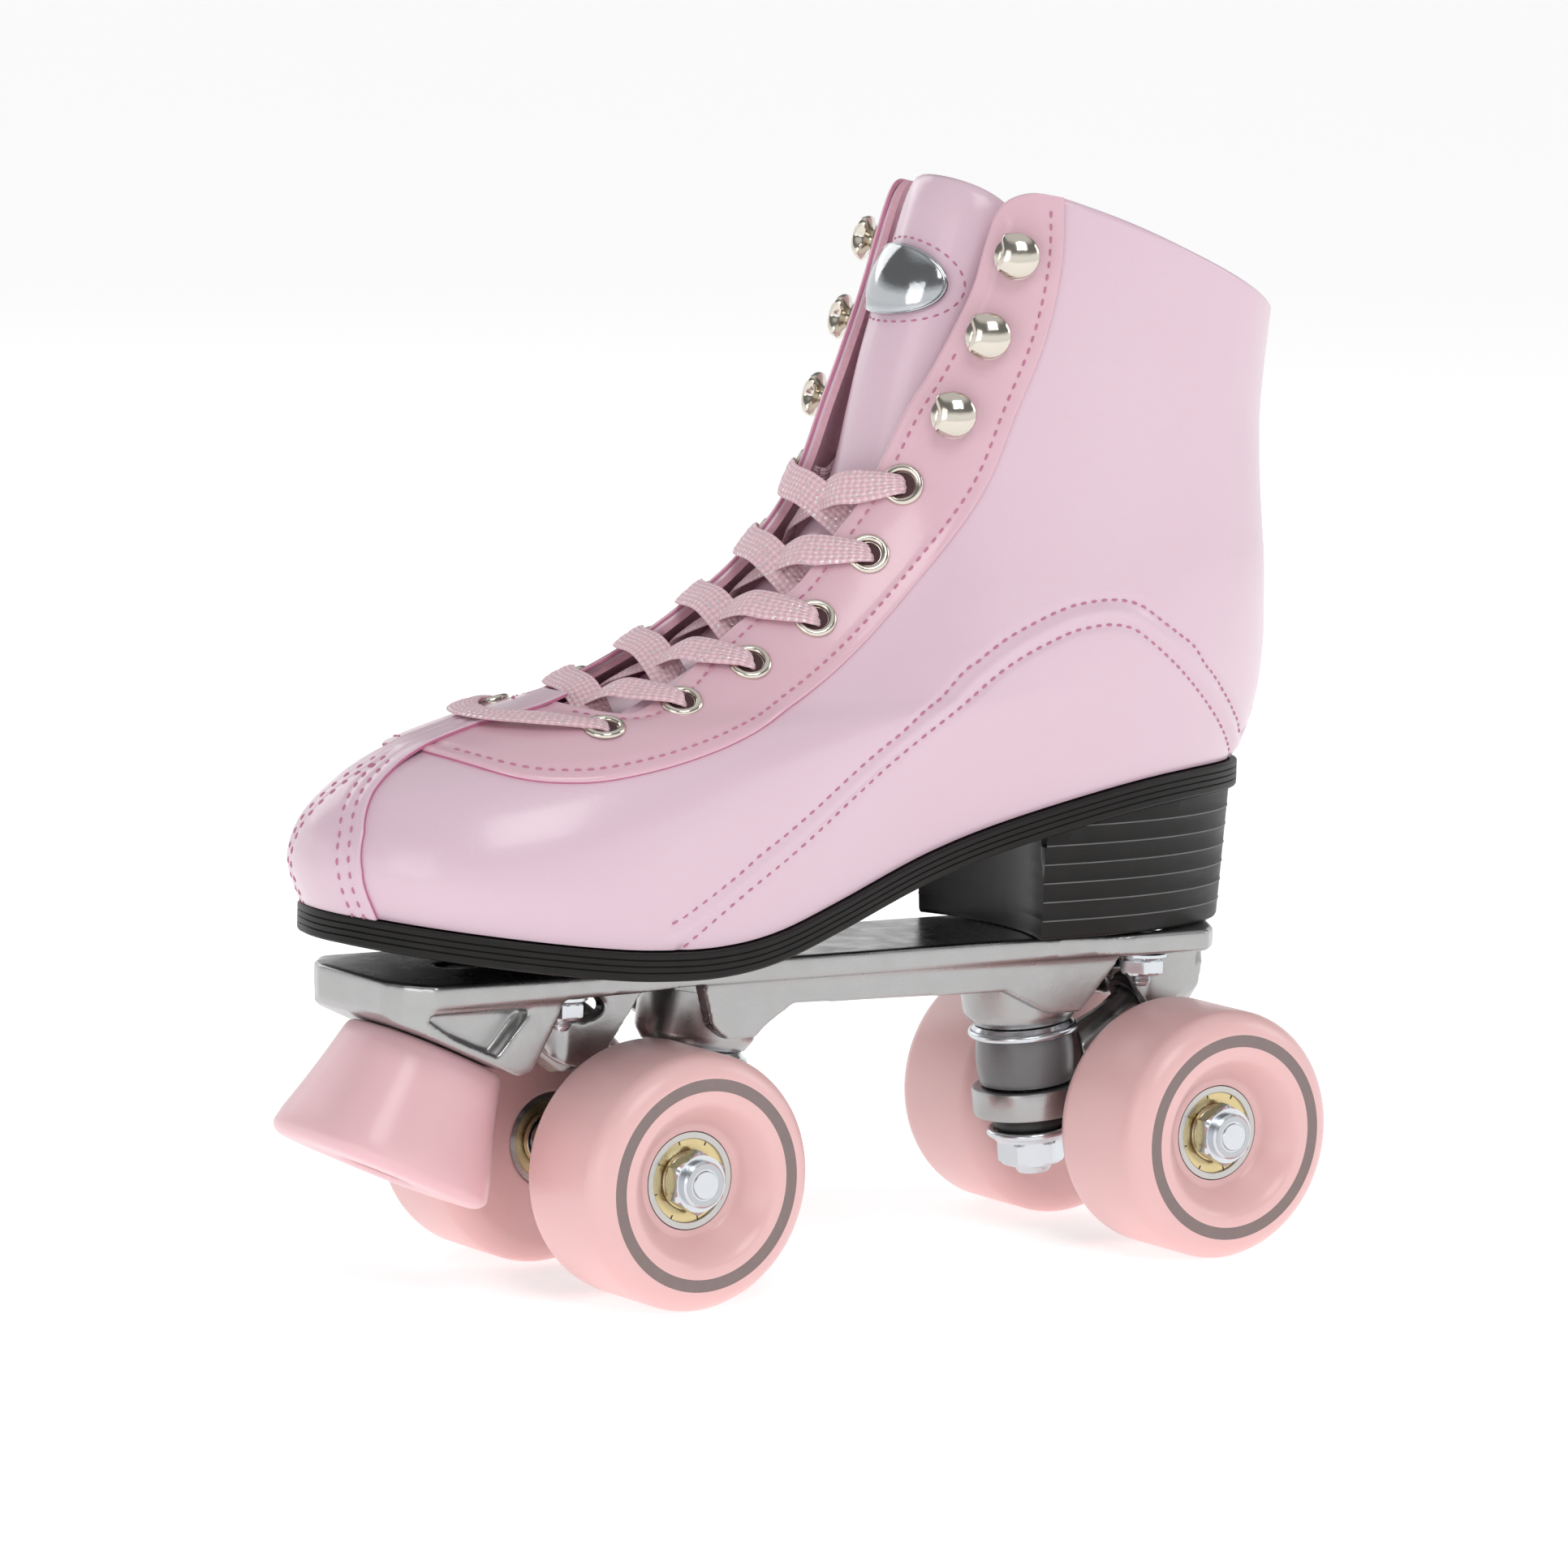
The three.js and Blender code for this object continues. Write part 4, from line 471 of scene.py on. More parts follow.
NICKEL = plated("nickel", (0.7, 0.65, 0.57), 0.11)
ZINC = plated("bright_zinc", (0.66, 0.69, 0.72), 0.2)
STEEL = plated("bearing_steel", (0.55, 0.54, 0.52), 0.22)
BRASS = plated("bearing_shield", (0.68, 0.56, 0.3), 0.26)
CHROME = plated("badge_chrome", (0.5, 0.52, 0.54), 0.1, 20)
CUSHION = Finish("cushion_grey", (0.14, 0.14, 0.144), 0.3, coat=0.5, coat_roughness=0.25)
CUSHION = CUSHION.vary(0.6, 8, (0.1, 0.1, 0.104)).rough(0.25, 0.42, 4).material
RUBBER = Finish("black_rubber", (0.022, 0.022, 0.023), 0.5).vary(0.6, 3, (0.045, 0.045, 0.045))
RUBBER = RUBBER.bump(RUBBER.noise(0.6, 3.0), 0.05).material
# dark disc across each eyelet's mouth: painted shade standing in for the hole
EYELET_PAINTED_SHADE = Finish("eyelet_painted_shade", (0.07, 0.03, 0.035), 0.9).rough(0.8, 1.0, 2).material
NYLON = Finish("nut_insert", (0.5, 0.52, 0.54), 0.3, 0.7).rough(0.24, 0.4, 2).material


def woven_lace():
    """Flat braid: seven ribs along it, each crossed by short plait stitches, with glitter dashes."""
    finish = Finish("lace_braid", (0.88, 0.67, 0.71), 0.75, Sheen_Weight=0.25)
    coords = finish.channel("ShaderNodeUVMap", 0, {"uv_map": "UVMap"})
    split = finish.add("ShaderNodeSeparateXYZ", {}, {0: coords})
    run, across = Channel(finish, split.outputs[0]), Channel(finish, split.outputs[1])
    ribs = (across * (7 * PI)).sine()
    plait = ((run + (across * (7 * PI)).sine() * 0.16) * (2 * PI)).sine()
    relief = ribs * ribs * 0.6 + plait * 0.35
    cells = finish.channel("ShaderNodeCombineXYZ", 0, {}, {0: run * 1.5, 1: across * 7.0})
    fleck = finish.channel("ShaderNodeTexWhiteNoise", 0, {"noise_dimensions": "2D"}, {
        "Vector": finish.channel("ShaderNodeVectorMath", 0, {"operation": "FLOOR"}, {0: cells})})
    glitter = (fleck > 0.72) * (plait > 0.35) * (ribs * ribs > 0.45)
    # base colour darker where the relief is low, in the grooves between ribs and plaits: painted shade
    finish.set("Base Color", finish.mix(
        glitter, finish.mix(relief, (0.7, 0.44, 0.5, 1), (0.87, 0.66, 0.7, 1)), (0.75, 0.74, 0.76, 1)))
    finish.set("Metallic", glitter * 0.9)
    finish.set("Roughness", 0.78 - glitter * 0.5)
    return finish.bump(relief, 0.25).material


LACE = woven_lace()

# ------------------------------------------------------------------ mesh building


def make_mesh(name, points, faces, finishes, which=None, sharp=40, uv=None):
    """Mesh from points (mm) and quads, each face in one of the finishes, shaded smooth up to an angle."""
    points = to_frame(points.reshape(-1, 3)).astype(np.float32)
    faces = np.asarray(faces, np.int32)
    mesh = bpy.data.meshes.new(name)
    mesh.vertices.add(len(points))
    mesh.vertices.foreach_set("co", points.ravel())
    mesh.loops.add(faces.size)
    mesh.loops.foreach_set("vertex_index", faces.ravel())
    mesh.polygons.add(len(faces))
    mesh.polygons.foreach_set("loop_start", np.arange(0, faces.size, 4, dtype=np.int32))
    for finish in finishes:
        mesh.materials.append(finish)
    if which is not None:
        mesh.polygons.foreach_set("material_index", np.asarray(which, np.int32))
    mesh.update(calc_edges=True)
    if uv is not None:
        layer = mesh.uv_layers.new(name="UVMap")
        layer.data.foreach_set("uv", uv.reshape(-1, 2)[faces.ravel()].astype(np.float32).ravel())
    mesh.validate()
    mesh.shade_smooth()
    mesh.set_sharp_from_angle(angle=math.radians(sharp))
    piece = bpy.data.objects.new(name, mesh)
    bpy.context.scene.collection.objects.link(piece)
    return piece


def merge_doubles(piece, distance_mm=0.004):
    """Welds points that lie on each other and lets the faces that vanish go."""
    work = bmesh.new()
    work.from_mesh(piece.data)
    bmesh.ops.remove_doubles(work, verts=work.verts, dist=distance_mm * MM)
    bmesh.ops.dissolve_degenerate(work, edges=work.edges, dist=distance_mm * MM)
    work.to_mesh(piece.data)
    work.free()
    return piece


def quads(rows, columns, closed_rows=False, closed_columns=False, flip=False):
    """Corner indices of a grid's quads, row by row."""
    i = np.arange(rows if closed_rows else rows - 1)
    j = np.arange(columns if closed_columns else columns - 1)
    i, j = np.meshgrid(i, j, indexing="ij")
    i1, j1 = (i + 1) % rows, (j + 1) % columns
    corners = [i * columns + j, i1 * columns + j, i1 * columns + j1, i * columns + j1]
    faces = np.stack(corners[::-1] if flip else corners, -1)
    return faces.reshape(-1, 4)


def sections(name, loops, finishes, strips=None, capped=True, cap=0, ring=False, flip=False, sharp=40,
             uv=None):
    """Solid through a stack of closed section loops (sections x points x 3). strips gives each
    lengthwise strip its finish, and cap the finish of the two ends, filled across the loop."""
    count, size = loops.shape[:2]
    faces = quads(count, size, closed_rows=ring, closed_columns=True, flip=flip)
    which = np.tile(np.zeros(size, int) if strips is None else strips, count if ring else count - 1)
    if capped and not ring:
        k = np.arange(size // 2 - 1)
        near = np.stack([k, k + 1, size - 2 - k, size - 1 - k], -1)
        far = near[:, ::-1] + (count - 1) * size
        faces = np.vstack([faces, near[:, ::-1] if flip else near, far[:, ::-1] if flip else far])
        which = np.concatenate([which, np.full(2 * len(k), cap)])
    return make_mesh(name, loops, faces, finishes, which, sharp, uv)


def turned_points(profile, place, direction, facets=64):
    """Profile of (radius, height) carried round an axis: a grid of heights by facets."""
    profile = np.asarray(profile, float)
    turn = Vector((0, 0, 1)).rotation_difference(Vector(direction)).to_matrix()
    a = np.linspace(0, 2 * PI, facets, endpoint=False)
    r, h = profile[:, :1], profile[:, 1:]
    grid = np.stack([r * np.cos(a), r * np.sin(a), h + 0 * a], -1)
    return grid @ np.array(turn).T + np.asarray(place, float)


def turned(name, profile, place, direction, finishes, strips=None, facets=64, sharp=32):
    """Turned solid whose profile runs from the axis to the axis, or back to its first point."""
    grid = turned_points(profile, place, direction, facets)
    faces = quads(len(profile), facets, closed_columns=True, flip=True)
    which = None if strips is None else np.repeat(strips, facets)
    return merge_doubles(make_mesh(name, grid, faces, finishes, which, sharp))


def arc(cx, cy, radius, start, end, count=6):
    a = np.radians(np.linspace(start, end, count))
    return [(cx + radius * math.cos(k), cy + radius * math.sin(k)) for k in a]


def joined(name, pieces):
    """Several meshes made one piece."""
    with bpy.context.temp_override(
            active_object=pieces[0], selected_editable_objects=pieces, selected_objects=pieces):
        bpy.ops.object.join()
    pieces[0].name = name
    pieces[0].data.name = name
    return pieces[0]


def settle(piece, body=BOOT, replaces=()):
    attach(piece, body)
    if replaces:
        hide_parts(*replaces)
    return piece

# ------------------------------------------------------------------ camera, light and floor

CAMERA_YAW, CAMERA_RISE, CAMERA_ROLL = (math.radians(a) for a in (34.22, 7.42, 1.68))
CAMERA_TARGET = (23, 0, 110)
CAMERA_DISTANCE = 1.821
CAMERA_LENS = 183.7  # on a 36 mm sensor


def place_camera():
    data = bpy.data.cameras.new("camera")
    data.lens = CAMERA_LENS
    data.sensor_width = 36
    camera = bpy.data.objects.new("camera", data)
    bpy.context.scene.collection.objects.link(camera)
    back = Vector((math.sin(CAMERA_YAW) * math.cos(CAMERA_RISE),
                   math.cos(CAMERA_YAW) * math.cos(CAMERA_RISE), math.sin(CAMERA_RISE)))
    level = Vector((0, 0, 1)).cross(back).normalized()
    upright = back.cross(level)
    right = math.cos(CAMERA_ROLL) * level + math.sin(CAMERA_ROLL) * upright
    up = math.cos(CAMERA_ROLL) * upright - math.sin(CAMERA_ROLL) * level
    matrix = Matrix((right, up, back)).transposed().to_4x4()
    matrix.translation = Vector(frame_point(*CAMERA_TARGET)) + CAMERA_DISTANCE * back
    camera.matrix_world = matrix
    bpy.context.scene.camera = camera


def soft_box(name, place, size, power):
    """Square area light that faces the skate."""
    data = bpy.data.lights.new(name, "AREA")
    data.shape = "SQUARE"
    data.size = size
    data.energy = power
    lamp = bpy.data.objects.new(name, data)
    lamp.location = place
    aim = Vector((0, 0, 0.12)) - Vector(place)
    lamp.rotation_euler = aim.to_track_quat("-Z", "Y").to_euler()
    bpy.context.scene.collection.objects.link(lamp)


def light_room():
    """Pale room: white to just over the horizon, then greyer, and bright again overhead."""
    world = bpy.data.worlds.new("studio")
    world.use_nodes = True
    nodes, links = world.node_tree.nodes, world.node_tree.links
    coords = nodes.new("ShaderNodeTexCoord")
    split = nodes.new("ShaderNodeSeparateXYZ")
    ramp = nodes.new("ShaderNodeValToRGB")
    links.new(coords.outputs["Generated"], split.inputs[0])
    links.new(split.outputs[2], ramp.inputs[0])
    links.new(ramp.outputs[0], nodes["Background"].inputs["Color"])
    stops = ((0.0, 1.2), (0.2, 1.2), (0.36, 0.24), (0.68, 0.24), (0.85, 0.8))
    while len(ramp.color_ramp.elements) < len(stops):
        ramp.color_ramp.elements.new(1)
    for element, (place, shade) in zip(ramp.color_ramp.elements, stops):
        element.position = place
        element.color = (shade, shade, shade, 1)
    nodes["Background"].inputs["Strength"].default_value = 0.87
    bpy.context.scene.world = world
    soft_box("key", (0.5, 1.6, 1.7), 1.0, 12.5)
    soft_box("fill", (2.0, 0.9, 0.7), 1.0, 4.5)
    soft_box("rim", (-1.7, 0.7, 1.0), 0.8, 5)
    soft_box("back", (0.2, -1.9, 1.2), 1.2, 7)


def lay_floor():
    mesh = bpy.data.meshes.new("floor")
    reach = 30
    mesh.from_pydata([(-reach, -reach, 0), (reach, -reach, 0), (reach, reach, 0), (-reach, reach, 0)], [],
                     [(0, 1, 2, 3)])
    paint = Finish("floor_paint", (0.93, 0.93, 0.93), 0.9, Emission_Color=(1, 1, 1, 1), Emission_Strength=0.5)
    mesh.materials.append(paint.rough(0.85, 0.95, 300).material)
    floor = bpy.data.objects.new("floor", mesh)
    bpy.context.scene.collection.objects.link(floor)


place_camera()
light_room()
lay_floor()
bpy.context.scene.view_settings.view_transform = "Standard"

# ------------------------------------------------------------------ lines on the upper

BACK_TOP_RING = float(np.interp(214.6, upper(np.linspace(0.6, 1, 200), PI)[:, 2], np.linspace(0.6, 1, 200)))
THROAT_LINE = from_centre_line(THROAT, 240)
CORNER_LINE = on_skin(curve_through(COLLAR_CORNER, 40))
COLLAR_LINE = np.vstack([on_skin(curve_through(COLLAR, 60)[:-1]), [[BACK_TOP_RING, PI]]])
EYESTAY_LINE = from_centre_line(EYESTAY_EDGE, 260)
FEATHER_LINE = by_length(np.stack([np.zeros(400), np.linspace(0, PI, 400)], -1), 300)


def smoothstep(value, low, high):
    share = np.clip((value - low) / (high - low), 0, 1)
    return share * share * (3 - 2 * share)


def cap_edge():
    """Left edge of the toe cap from the feather line over the toe to the throat's foot: where the
    distance from the toe's bent centre line reaches the cap's half width at that height."""
    t = np.linspace(0, THROAT_LINE[0, 0] + 0.004, 160)
    angle = np.linspace(0, 1.2, 500)
    grid = upper(t[:, None], angle[None, :])
    swing = TOE_SWING * np.maximum((grid[..., 0] - 40) / 100, 0) ** 2
    heights, halves = np.array(CAP_HALF_WIDTH, float).T
    past = grid[..., 1] + swing - np.interp(grid[..., 2], heights, halves)
    i = np.argmax(past > 0, axis=1)
    row = np.arange(len(t))
    share = past[row, i] / (past[row, i] - past[row, i - 1])
    return by_length(np.stack([t, angle[i] - share * angle[1]], -1), 160)


CAP_LINE = cap_edge()


def beside(line, distance):
    """A skin line moved over the skin by a distance, to the left of its run seen from outside."""
    t, angle = line[:, 0], line[:, 1]
    step = 1e-3
    by_t = (upper(t + step, angle) - upper(t - step, angle)) / (2 * step)
    by_angle = (upper(t, angle + step) - upper(t, angle - step)) / (2 * step)
    run = unit(np.gradient(upper(t, angle), axis=0))
    aside = np.cross(skin_normal(t, angle), run) * distance
    tt, aa, ta = (np.sum(p * q, -1) for p, q in ((by_t, by_t), (by_angle, by_angle), (by_t, by_angle)))
    et, ea = np.sum(by_t * aside, -1), np.sum(by_angle * aside, -1)
    det = tt * aa - ta * ta
    return np.stack([t + (et * aa - ea * ta) / det, angle + (ea * tt - et * ta) / det], -1)


def distance_to(points, line):
    """Distance from each point to the nearest point of a line."""
    far = np.full(points.shape[:-1], 1e3)
    for place in line:
        far = np.minimum(far, np.linalg.norm(points - place, axis=-1))
    return far


COUNTER_TOP = on_skin(curve_through(COUNTER_LINE, 260))
COUNTER_LOW = beside(COUNTER_TOP, -5.5)

# ------------------------------------------------------------------ sheets of the boot


def shell(name, coords, outer, inner, finishes, side):
    """Sheet of the upper between two heights over a grid of skin coordinates, closed round its edges.
    finishes are those of its face, its lining and its cut edge."""
    t, angle = coords[..., 0], side * coords[..., 1]
    points = np.stack([skin(t, angle, outer + 0 * t), skin(t, angle, inner + 0 * t)])
    rows, columns = t.shape
    face = quads(rows, columns, flip=side < 0)
    lining = face[:, ::-1] + rows * columns
    index = np.arange(rows * columns).reshape(rows, columns)
    border = np.concatenate([index[:-1, 0], index[-1, :-1], index[:0:-1, -1], index[0, :0:-1]])
    if side < 0:
        border = border[::-1]
    following = np.roll(border, -1)
    rim = np.stack([following, border, border + rows * columns, following + rows * columns], -1)
    which = np.concatenate([np.zeros(len(face)), np.ones(len(lining)), np.full(len(rim), 2)])
    return merge_doubles(make_mesh(name, points, np.vstack([face, lining, rim]), finishes, which, 45))


def edge_shares(count, fine):
    """Shares from 0 to 1, evenly spaced but for extra ones close to both ends."""
    return np.unique(np.concatenate([np.linspace(0, 1, count), fine, 1 - np.array(fine)]))


def make_quarter(name, side):
    top = np.vstack([THROAT_LINE, CORNER_LINE[1:], COLLAR_LINE[1:]])
    top = by_length(top, 400)
    start = by_length(np.stack([np.linspace(0, top[0, 0], 60), np.zeros(60)], -1), 60)
    end = by_length(np.stack([np.linspace(0, BACK_TOP_RING, 60), np.full(60, PI)], -1), 60)
    u, v = np.meshgrid(edge_shares(330, (0.0008,)), edge_shares(150, (0.002, 0.005)), indexing="ij")
    coords = patch(FEATHER_LINE, top, start, end, u, v)
    here = upper(coords[..., 0], coords[..., 1])
    near = [distance_to(here, upper(line[:, 0], line[:, 1])) for line in (COUNTER_TOP, COUNTER_LOW)]
    groove = 0.5 * sum(np.exp(-(far / 0.8) ** 2) for far in near)
    puff = 0.5 * np.exp(-((near[0] - 2.75) / 1.9) ** 2) * np.exp(-((near[1] - 2.75) / 1.9) ** 2)
    roll = 0.7 * np.clip(1 - (1 - v) / 0.006, 0, 1) ** 2
    stiff = smoothstep(coords[..., 1], 1.9, 2.05) * (1 - smoothstep(coords[..., 0], 0.42, 0.5))
    shade = shell(name, coords, puff - groove - roll, -LEATHER - 3.1 * stiff, (PINK, LINING, RAW_PALE), side)
    nodes = (f"quarter_{name.rsplit('_', 1)[1]}",)
    return settle(shade, replaces=nodes)


for word, side in SIDES:
    make_quarter(f"boot_side_{word}", side)


def throat_and_corner():
    return by_length(np.vstack([THROAT_LINE, CORNER_LINE[1:]]), 300)


def make_eyestay():
    inner = throat_and_corner()
    start = np.stack([np.linspace(EYESTAY_LINE[0, 0], inner[0, 0], 40), np.zeros(40)], -1)
    end = np.stack([np.linspace(EYESTAY_LINE[-1, k], inner[-1, k], 40) for k in (0, 1)], -1)
    u, v = np.meshgrid(edge_shares(320, (0.001,)), edge_shares(34, (0.006, 0.016, 0.03)), indexing="ij")
    coords = patch(EYESTAY_LINE, inner, start, end, u, v)
    here = upper(coords[..., 0], coords[..., 1])
    rows = [beside(EYESTAY_LINE, 3.0), beside(THROAT_LINE, -3.2)]
    groove = 0.25 * sum(
        np.exp(-(distance_to(here, upper(row[:, 0], row[:, 1])) / 0.8) ** 2) for row in rows)
    roll = 0.5 * (1 - np.clip(np.minimum(v, 1 - v) / 0.03, 0, 1)) ** 2
    halves = [shell(f"facing_{word}", coords, OVERLAY - groove - roll, 0.03, (PINK_TRIM, LINING, RAW), side)
              for word, side in SIDES]
    return settle(merge_doubles(joined("eyelet_facing", halves)), replaces=("eyestay",))


make_eyestay()


def make_cap():
    """Toe cap: a strip over the toe whose two raw edges stand on the panels beside it."""
    share = edge_shares(60, (0.004, 0.01)) * 2 - 1
    t = np.repeat(CAP_LINE[:, :1], len(share), 1)
    angle = CAP_LINE[:, 1:] * share[None, :]
    over_facing = smoothstep(t, EYESTAY_LINE[0, 0] - 0.05, EYESTAY_LINE[0, 0] + 0.01)
    height = OVERLAY * (1 + over_facing)
    here = upper(t, angle)
    groove = 0.25 * sum(
        np.exp(-(distance_to(here, upper(row[:, 0], sign * row[:, 1])) / 0.8) ** 2)
        for row in CAP_ROWS for sign in (1, -1))
    roll = 0.4 * (1 - np.clip((1 - np.abs(share)) / 0.03, 0, 1)) ** 2
    coords = np.stack([t, angle], -1).transpose(1, 0, 2)
    cap = shell("toe_strip", coords, (height - groove - roll).T, (OVERLAY * over_facing).T + 0.04,
                (PINK, LINING, RAW), 1)
    return settle(cap, replaces=("toe_cap",))


CAP_ROWS = [beside(CAP_LINE, distance)[:cut] for distance, cut in ((3.0, 116), (6.2, 80))]
make_cap()


def make_back_seam():
    """Ridge where the two quarters are closed together up the back, its raw edges standing out."""
    count = 120
    t = np.linspace(0.0, BACK_TOP_RING - 0.004, count)
    across = np.array([-1.0, -0.9, -0.55, -0.2, 0, 0.2, 0.55, 0.9, 1.0])
    rise = np.array([0.0, 0.75, 1.1, 1.25, 0.8, 1.25, 1.1, 0.75, 0.0])
    half = 1.6 / np.linalg.norm(upper(t, PI - 0.01) - upper(t, PI), axis=-1) * 0.01
    ends = np.minimum(1, np.minimum(np.linspace(0, 12, count), np.linspace(12, 0, count)) + 0.25)
    angle = PI - across[None, :] * half[:, None]
    face = skin(t[:, None] + 0 * angle, angle, rise[None, :] * ends[:, None] - 0.1)
    under = skin(t[:, None] + 0 * angle, angle, -0.4)[:, ::-1]
    loops = np.concatenate([face, under], 1)
    seam = sections("back_seam", loops, (RAW, PINK), strips=np.array([1, 1, 0, 0, 0, 0, 1, 1] + [0] * 10),
                    sharp=50, flip=True)
    return settle(seam)


make_back_seam()

# ------------------------------------------------------------------ stitches

STITCH_PITCH = 2.8
STITCH_LENGTH = 1.9
STITCH_RADIUS = 0.3


def spindles(middle, run, out):
    """Points and faces of stitches: thin spindles along a run whose ends dive under the leather."""
    across = np.cross(run, out)
    along = np.array([-1, -0.72, 0, 0.72, 1])
    thick = np.array([0.02, 0.8, 1, 0.8, 0.02]) * STITCH_RADIUS
    dive = np.array([-0.5, -0.1, 0.05, -0.1, -0.5])
    a = np.linspace(0, 2 * PI, 6, endpoint=False)
    spine = (middle[:, None] + run[:, None] * (along * STITCH_LENGTH / 2)[None, :, None]
             + out[:, None] * dive[None, :, None])
    ring = (across[:, None, None] * np.cos(a)[None, None, :, None]
            + out[:, None, None] * np.sin(a)[None, None, :, None])
    points = spine[:, :, None] + ring * thick[None, :, None, None]
    count, levels, sides = points.shape[:3]
    one = quads(levels, sides, closed_columns=True, flip=True)
    faces = (one[None] + (np.arange(count) * levels * sides)[:, None, None]).reshape(-1, 4)
    return points, faces


def stitch_row(line, lift, side=1, pitch=STITCH_PITCH):
    """Middles, runs and outward directions of stitches along a skin line."""
    places = upper(line[:, 0], line[:, 1])
    length = np.linalg.norm(np.diff(places, axis=0), axis=1).sum()
    coords = by_length(line, max(int(length / pitch), 2))
    t, angle = coords[:, 0], side * coords[:, 1]
    middle = skin(t, angle, lift + 0 * t)
    return middle, unit(np.gradient(middle, axis=0)), skin_normal(t, angle)


def make_stitches(name, rows):
    """One mesh of all the given stitch rows."""
    points, faces = spindles(*(np.concatenate(parts) for parts in zip(*rows)))
    return settle(make_mesh(name, points, faces, (THREAD,)))


counter_rows, facing_rows, cap_rows = [], [], []
for _, side in SIDES:
    counter_rows += [stitch_row(line[5:-3], -0.3, side) for line in (COUNTER_TOP, COUNTER_LOW)]
    facing_rows += [
        stitch_row(beside(EYESTAY_LINE, 3.0)[14:-4], OVERLAY - 0.12, side),
        stitch_row(beside(THROAT_LINE, -3.2)[16:-44], OVERLAY - 0.12, side)]
    cap_rows += [stitch_row(line[2:], OVERLAY - 0.12, side, 3.0) for line in CAP_ROWS]
make_stitches("counter_stitches", counter_rows)
make_stitches("facing_stitches", facing_rows)
make_stitches("toe_stitches", cap_rows)

# ------------------------------------------------------------------ tongue and badge

TONGUE_TOP_SINK = 1.8
TONGUE_RISES_AT = 0.72
TONGUE_CROWN_ANGLE = 0.62
TONGUE_HALF_ANGLE = 0.98
TONGUE_END = 0.986
EYE_RING = 5 / 12  # ring at the throat's lowest point
BADGE_RING = 0.936
BADGE_STITCH_SCALE = 1.2
BADGE_STITCH_PITCH = 2.6
BADGE_HALF_WIDTH = 16
BADGE_HALF_HEIGHT = 8.6


def tongue_sink(t, angle):
    rise = smoothstep(t, TONGUE_RISES_AT, TONGUE_END - 0.05)
    crown = np.maximum(1 - (angle / TONGUE_CROWN_ANGLE) ** 2, 0)
    return TONGUE_SINK + (TONGUE_TOP_SINK - TONGUE_SINK) * rise * crown


def make_tongue():
    """Padded tongue: a sheet of the upper set back in the throat, rounded off at its sides and top."""
    across, along = edge_shares(60, (0.004, 0.014)) * 2 - 1, edge_shares(110, (0.003, 0.008))
    u, v = np.meshgrid(across, along, indexing="ij")
    top = TONGUE_END - 0.05 * (1 - (1 - np.abs(u) ** 3.2) ** (1 / 3.2))
    t = EYE_RING - 0.03 + (top - EYE_RING + 0.03) * v
    narrow = 1 - 0.03 * smoothstep(t, 0.9, TONGUE_END)
    opening = np.clip(0.55 + (t - EYE_RING) * 2, 0.3, 1)
    span = TONGUE_HALF_ANGLE * narrow * opening * (1 - 0.12 * t)
    coords = np.stack([t, u * span], -1)
    edge = np.minimum((1 - np.abs(u)) / 0.09, (1 - v) / 0.03)
    roll = 1.9 * (1 - np.sqrt(np.clip(1 - (1 - np.clip(edge, 0, 1)) ** 2, 0, 1)))
    face = tongue_sink(t, coords[..., 1])
    seam = 0.4 * np.exp(-(((1 - np.abs(u)) - 0.16) / 0.02) ** 2)
    tongue = shell("tongue_pad", coords, -face - roll - seam, -face - TONGUE_THICKNESS + roll,
                   (PINK, LINING, RAW_PALE), 1)
    return settle(tongue, replaces=("tongue",))


def badge_grid(scale, turn, lift):
    """Points over the tongue at scales of the badge's outline, an oval a little fuller at its top."""
    step = 0.01
    centre = skin(BADGE_RING + np.array([-step, step]), np.zeros(2), 0.0)
    up_rate = np.linalg.norm(centre[1] - centre[0]) / (2 * step)
    sides = skin(np.full(2, BADGE_RING), np.array([-step, step]), 0.0)
    round_rate = np.linalg.norm(sides[1] - sides[0]) / (2 * step)
    t = BADGE_RING + scale * BADGE_HALF_HEIGHT * np.sin(turn) / up_rate
    angle = scale * BADGE_HALF_WIDTH * (1 + 0.06 * np.sin(turn)) * np.cos(turn) / round_rate
    return t, angle, skin(t, angle, lift - tongue_sink(t, angle))


def make_badge():
    """Polished dome with a thin rolled edge, on a flat back."""
    levels = np.array([
        (0, 0.25), (0.97, 0.25), (1.0, 0.5), (1.0, 1.0),
        (0.985, 1.25), (0.965, 1.3), (0.95, 1.2), (0.93, 1.3)])
    dome = np.linspace(0.9, 0.0, 16)
    levels = np.vstack([levels, np.stack([dome, 1.35 + 1.9 * (1 - (dome / 0.93) ** 2)], -1)])
    turn = np.linspace(0, 2 * PI, 72, endpoint=False)
    _, _, points = badge_grid(levels[:, :1], turn[None, :], 0.9 + 0.72 * levels[:, 1:] + 0 * turn)
    faces = quads(len(levels), len(turn), closed_columns=True, flip=True)
    badge = merge_doubles(make_mesh("badge_dome", points, faces, (CHROME,), None, 50))
    return settle(badge, replaces=("tongue_badge",))


make_tongue()
make_badge()


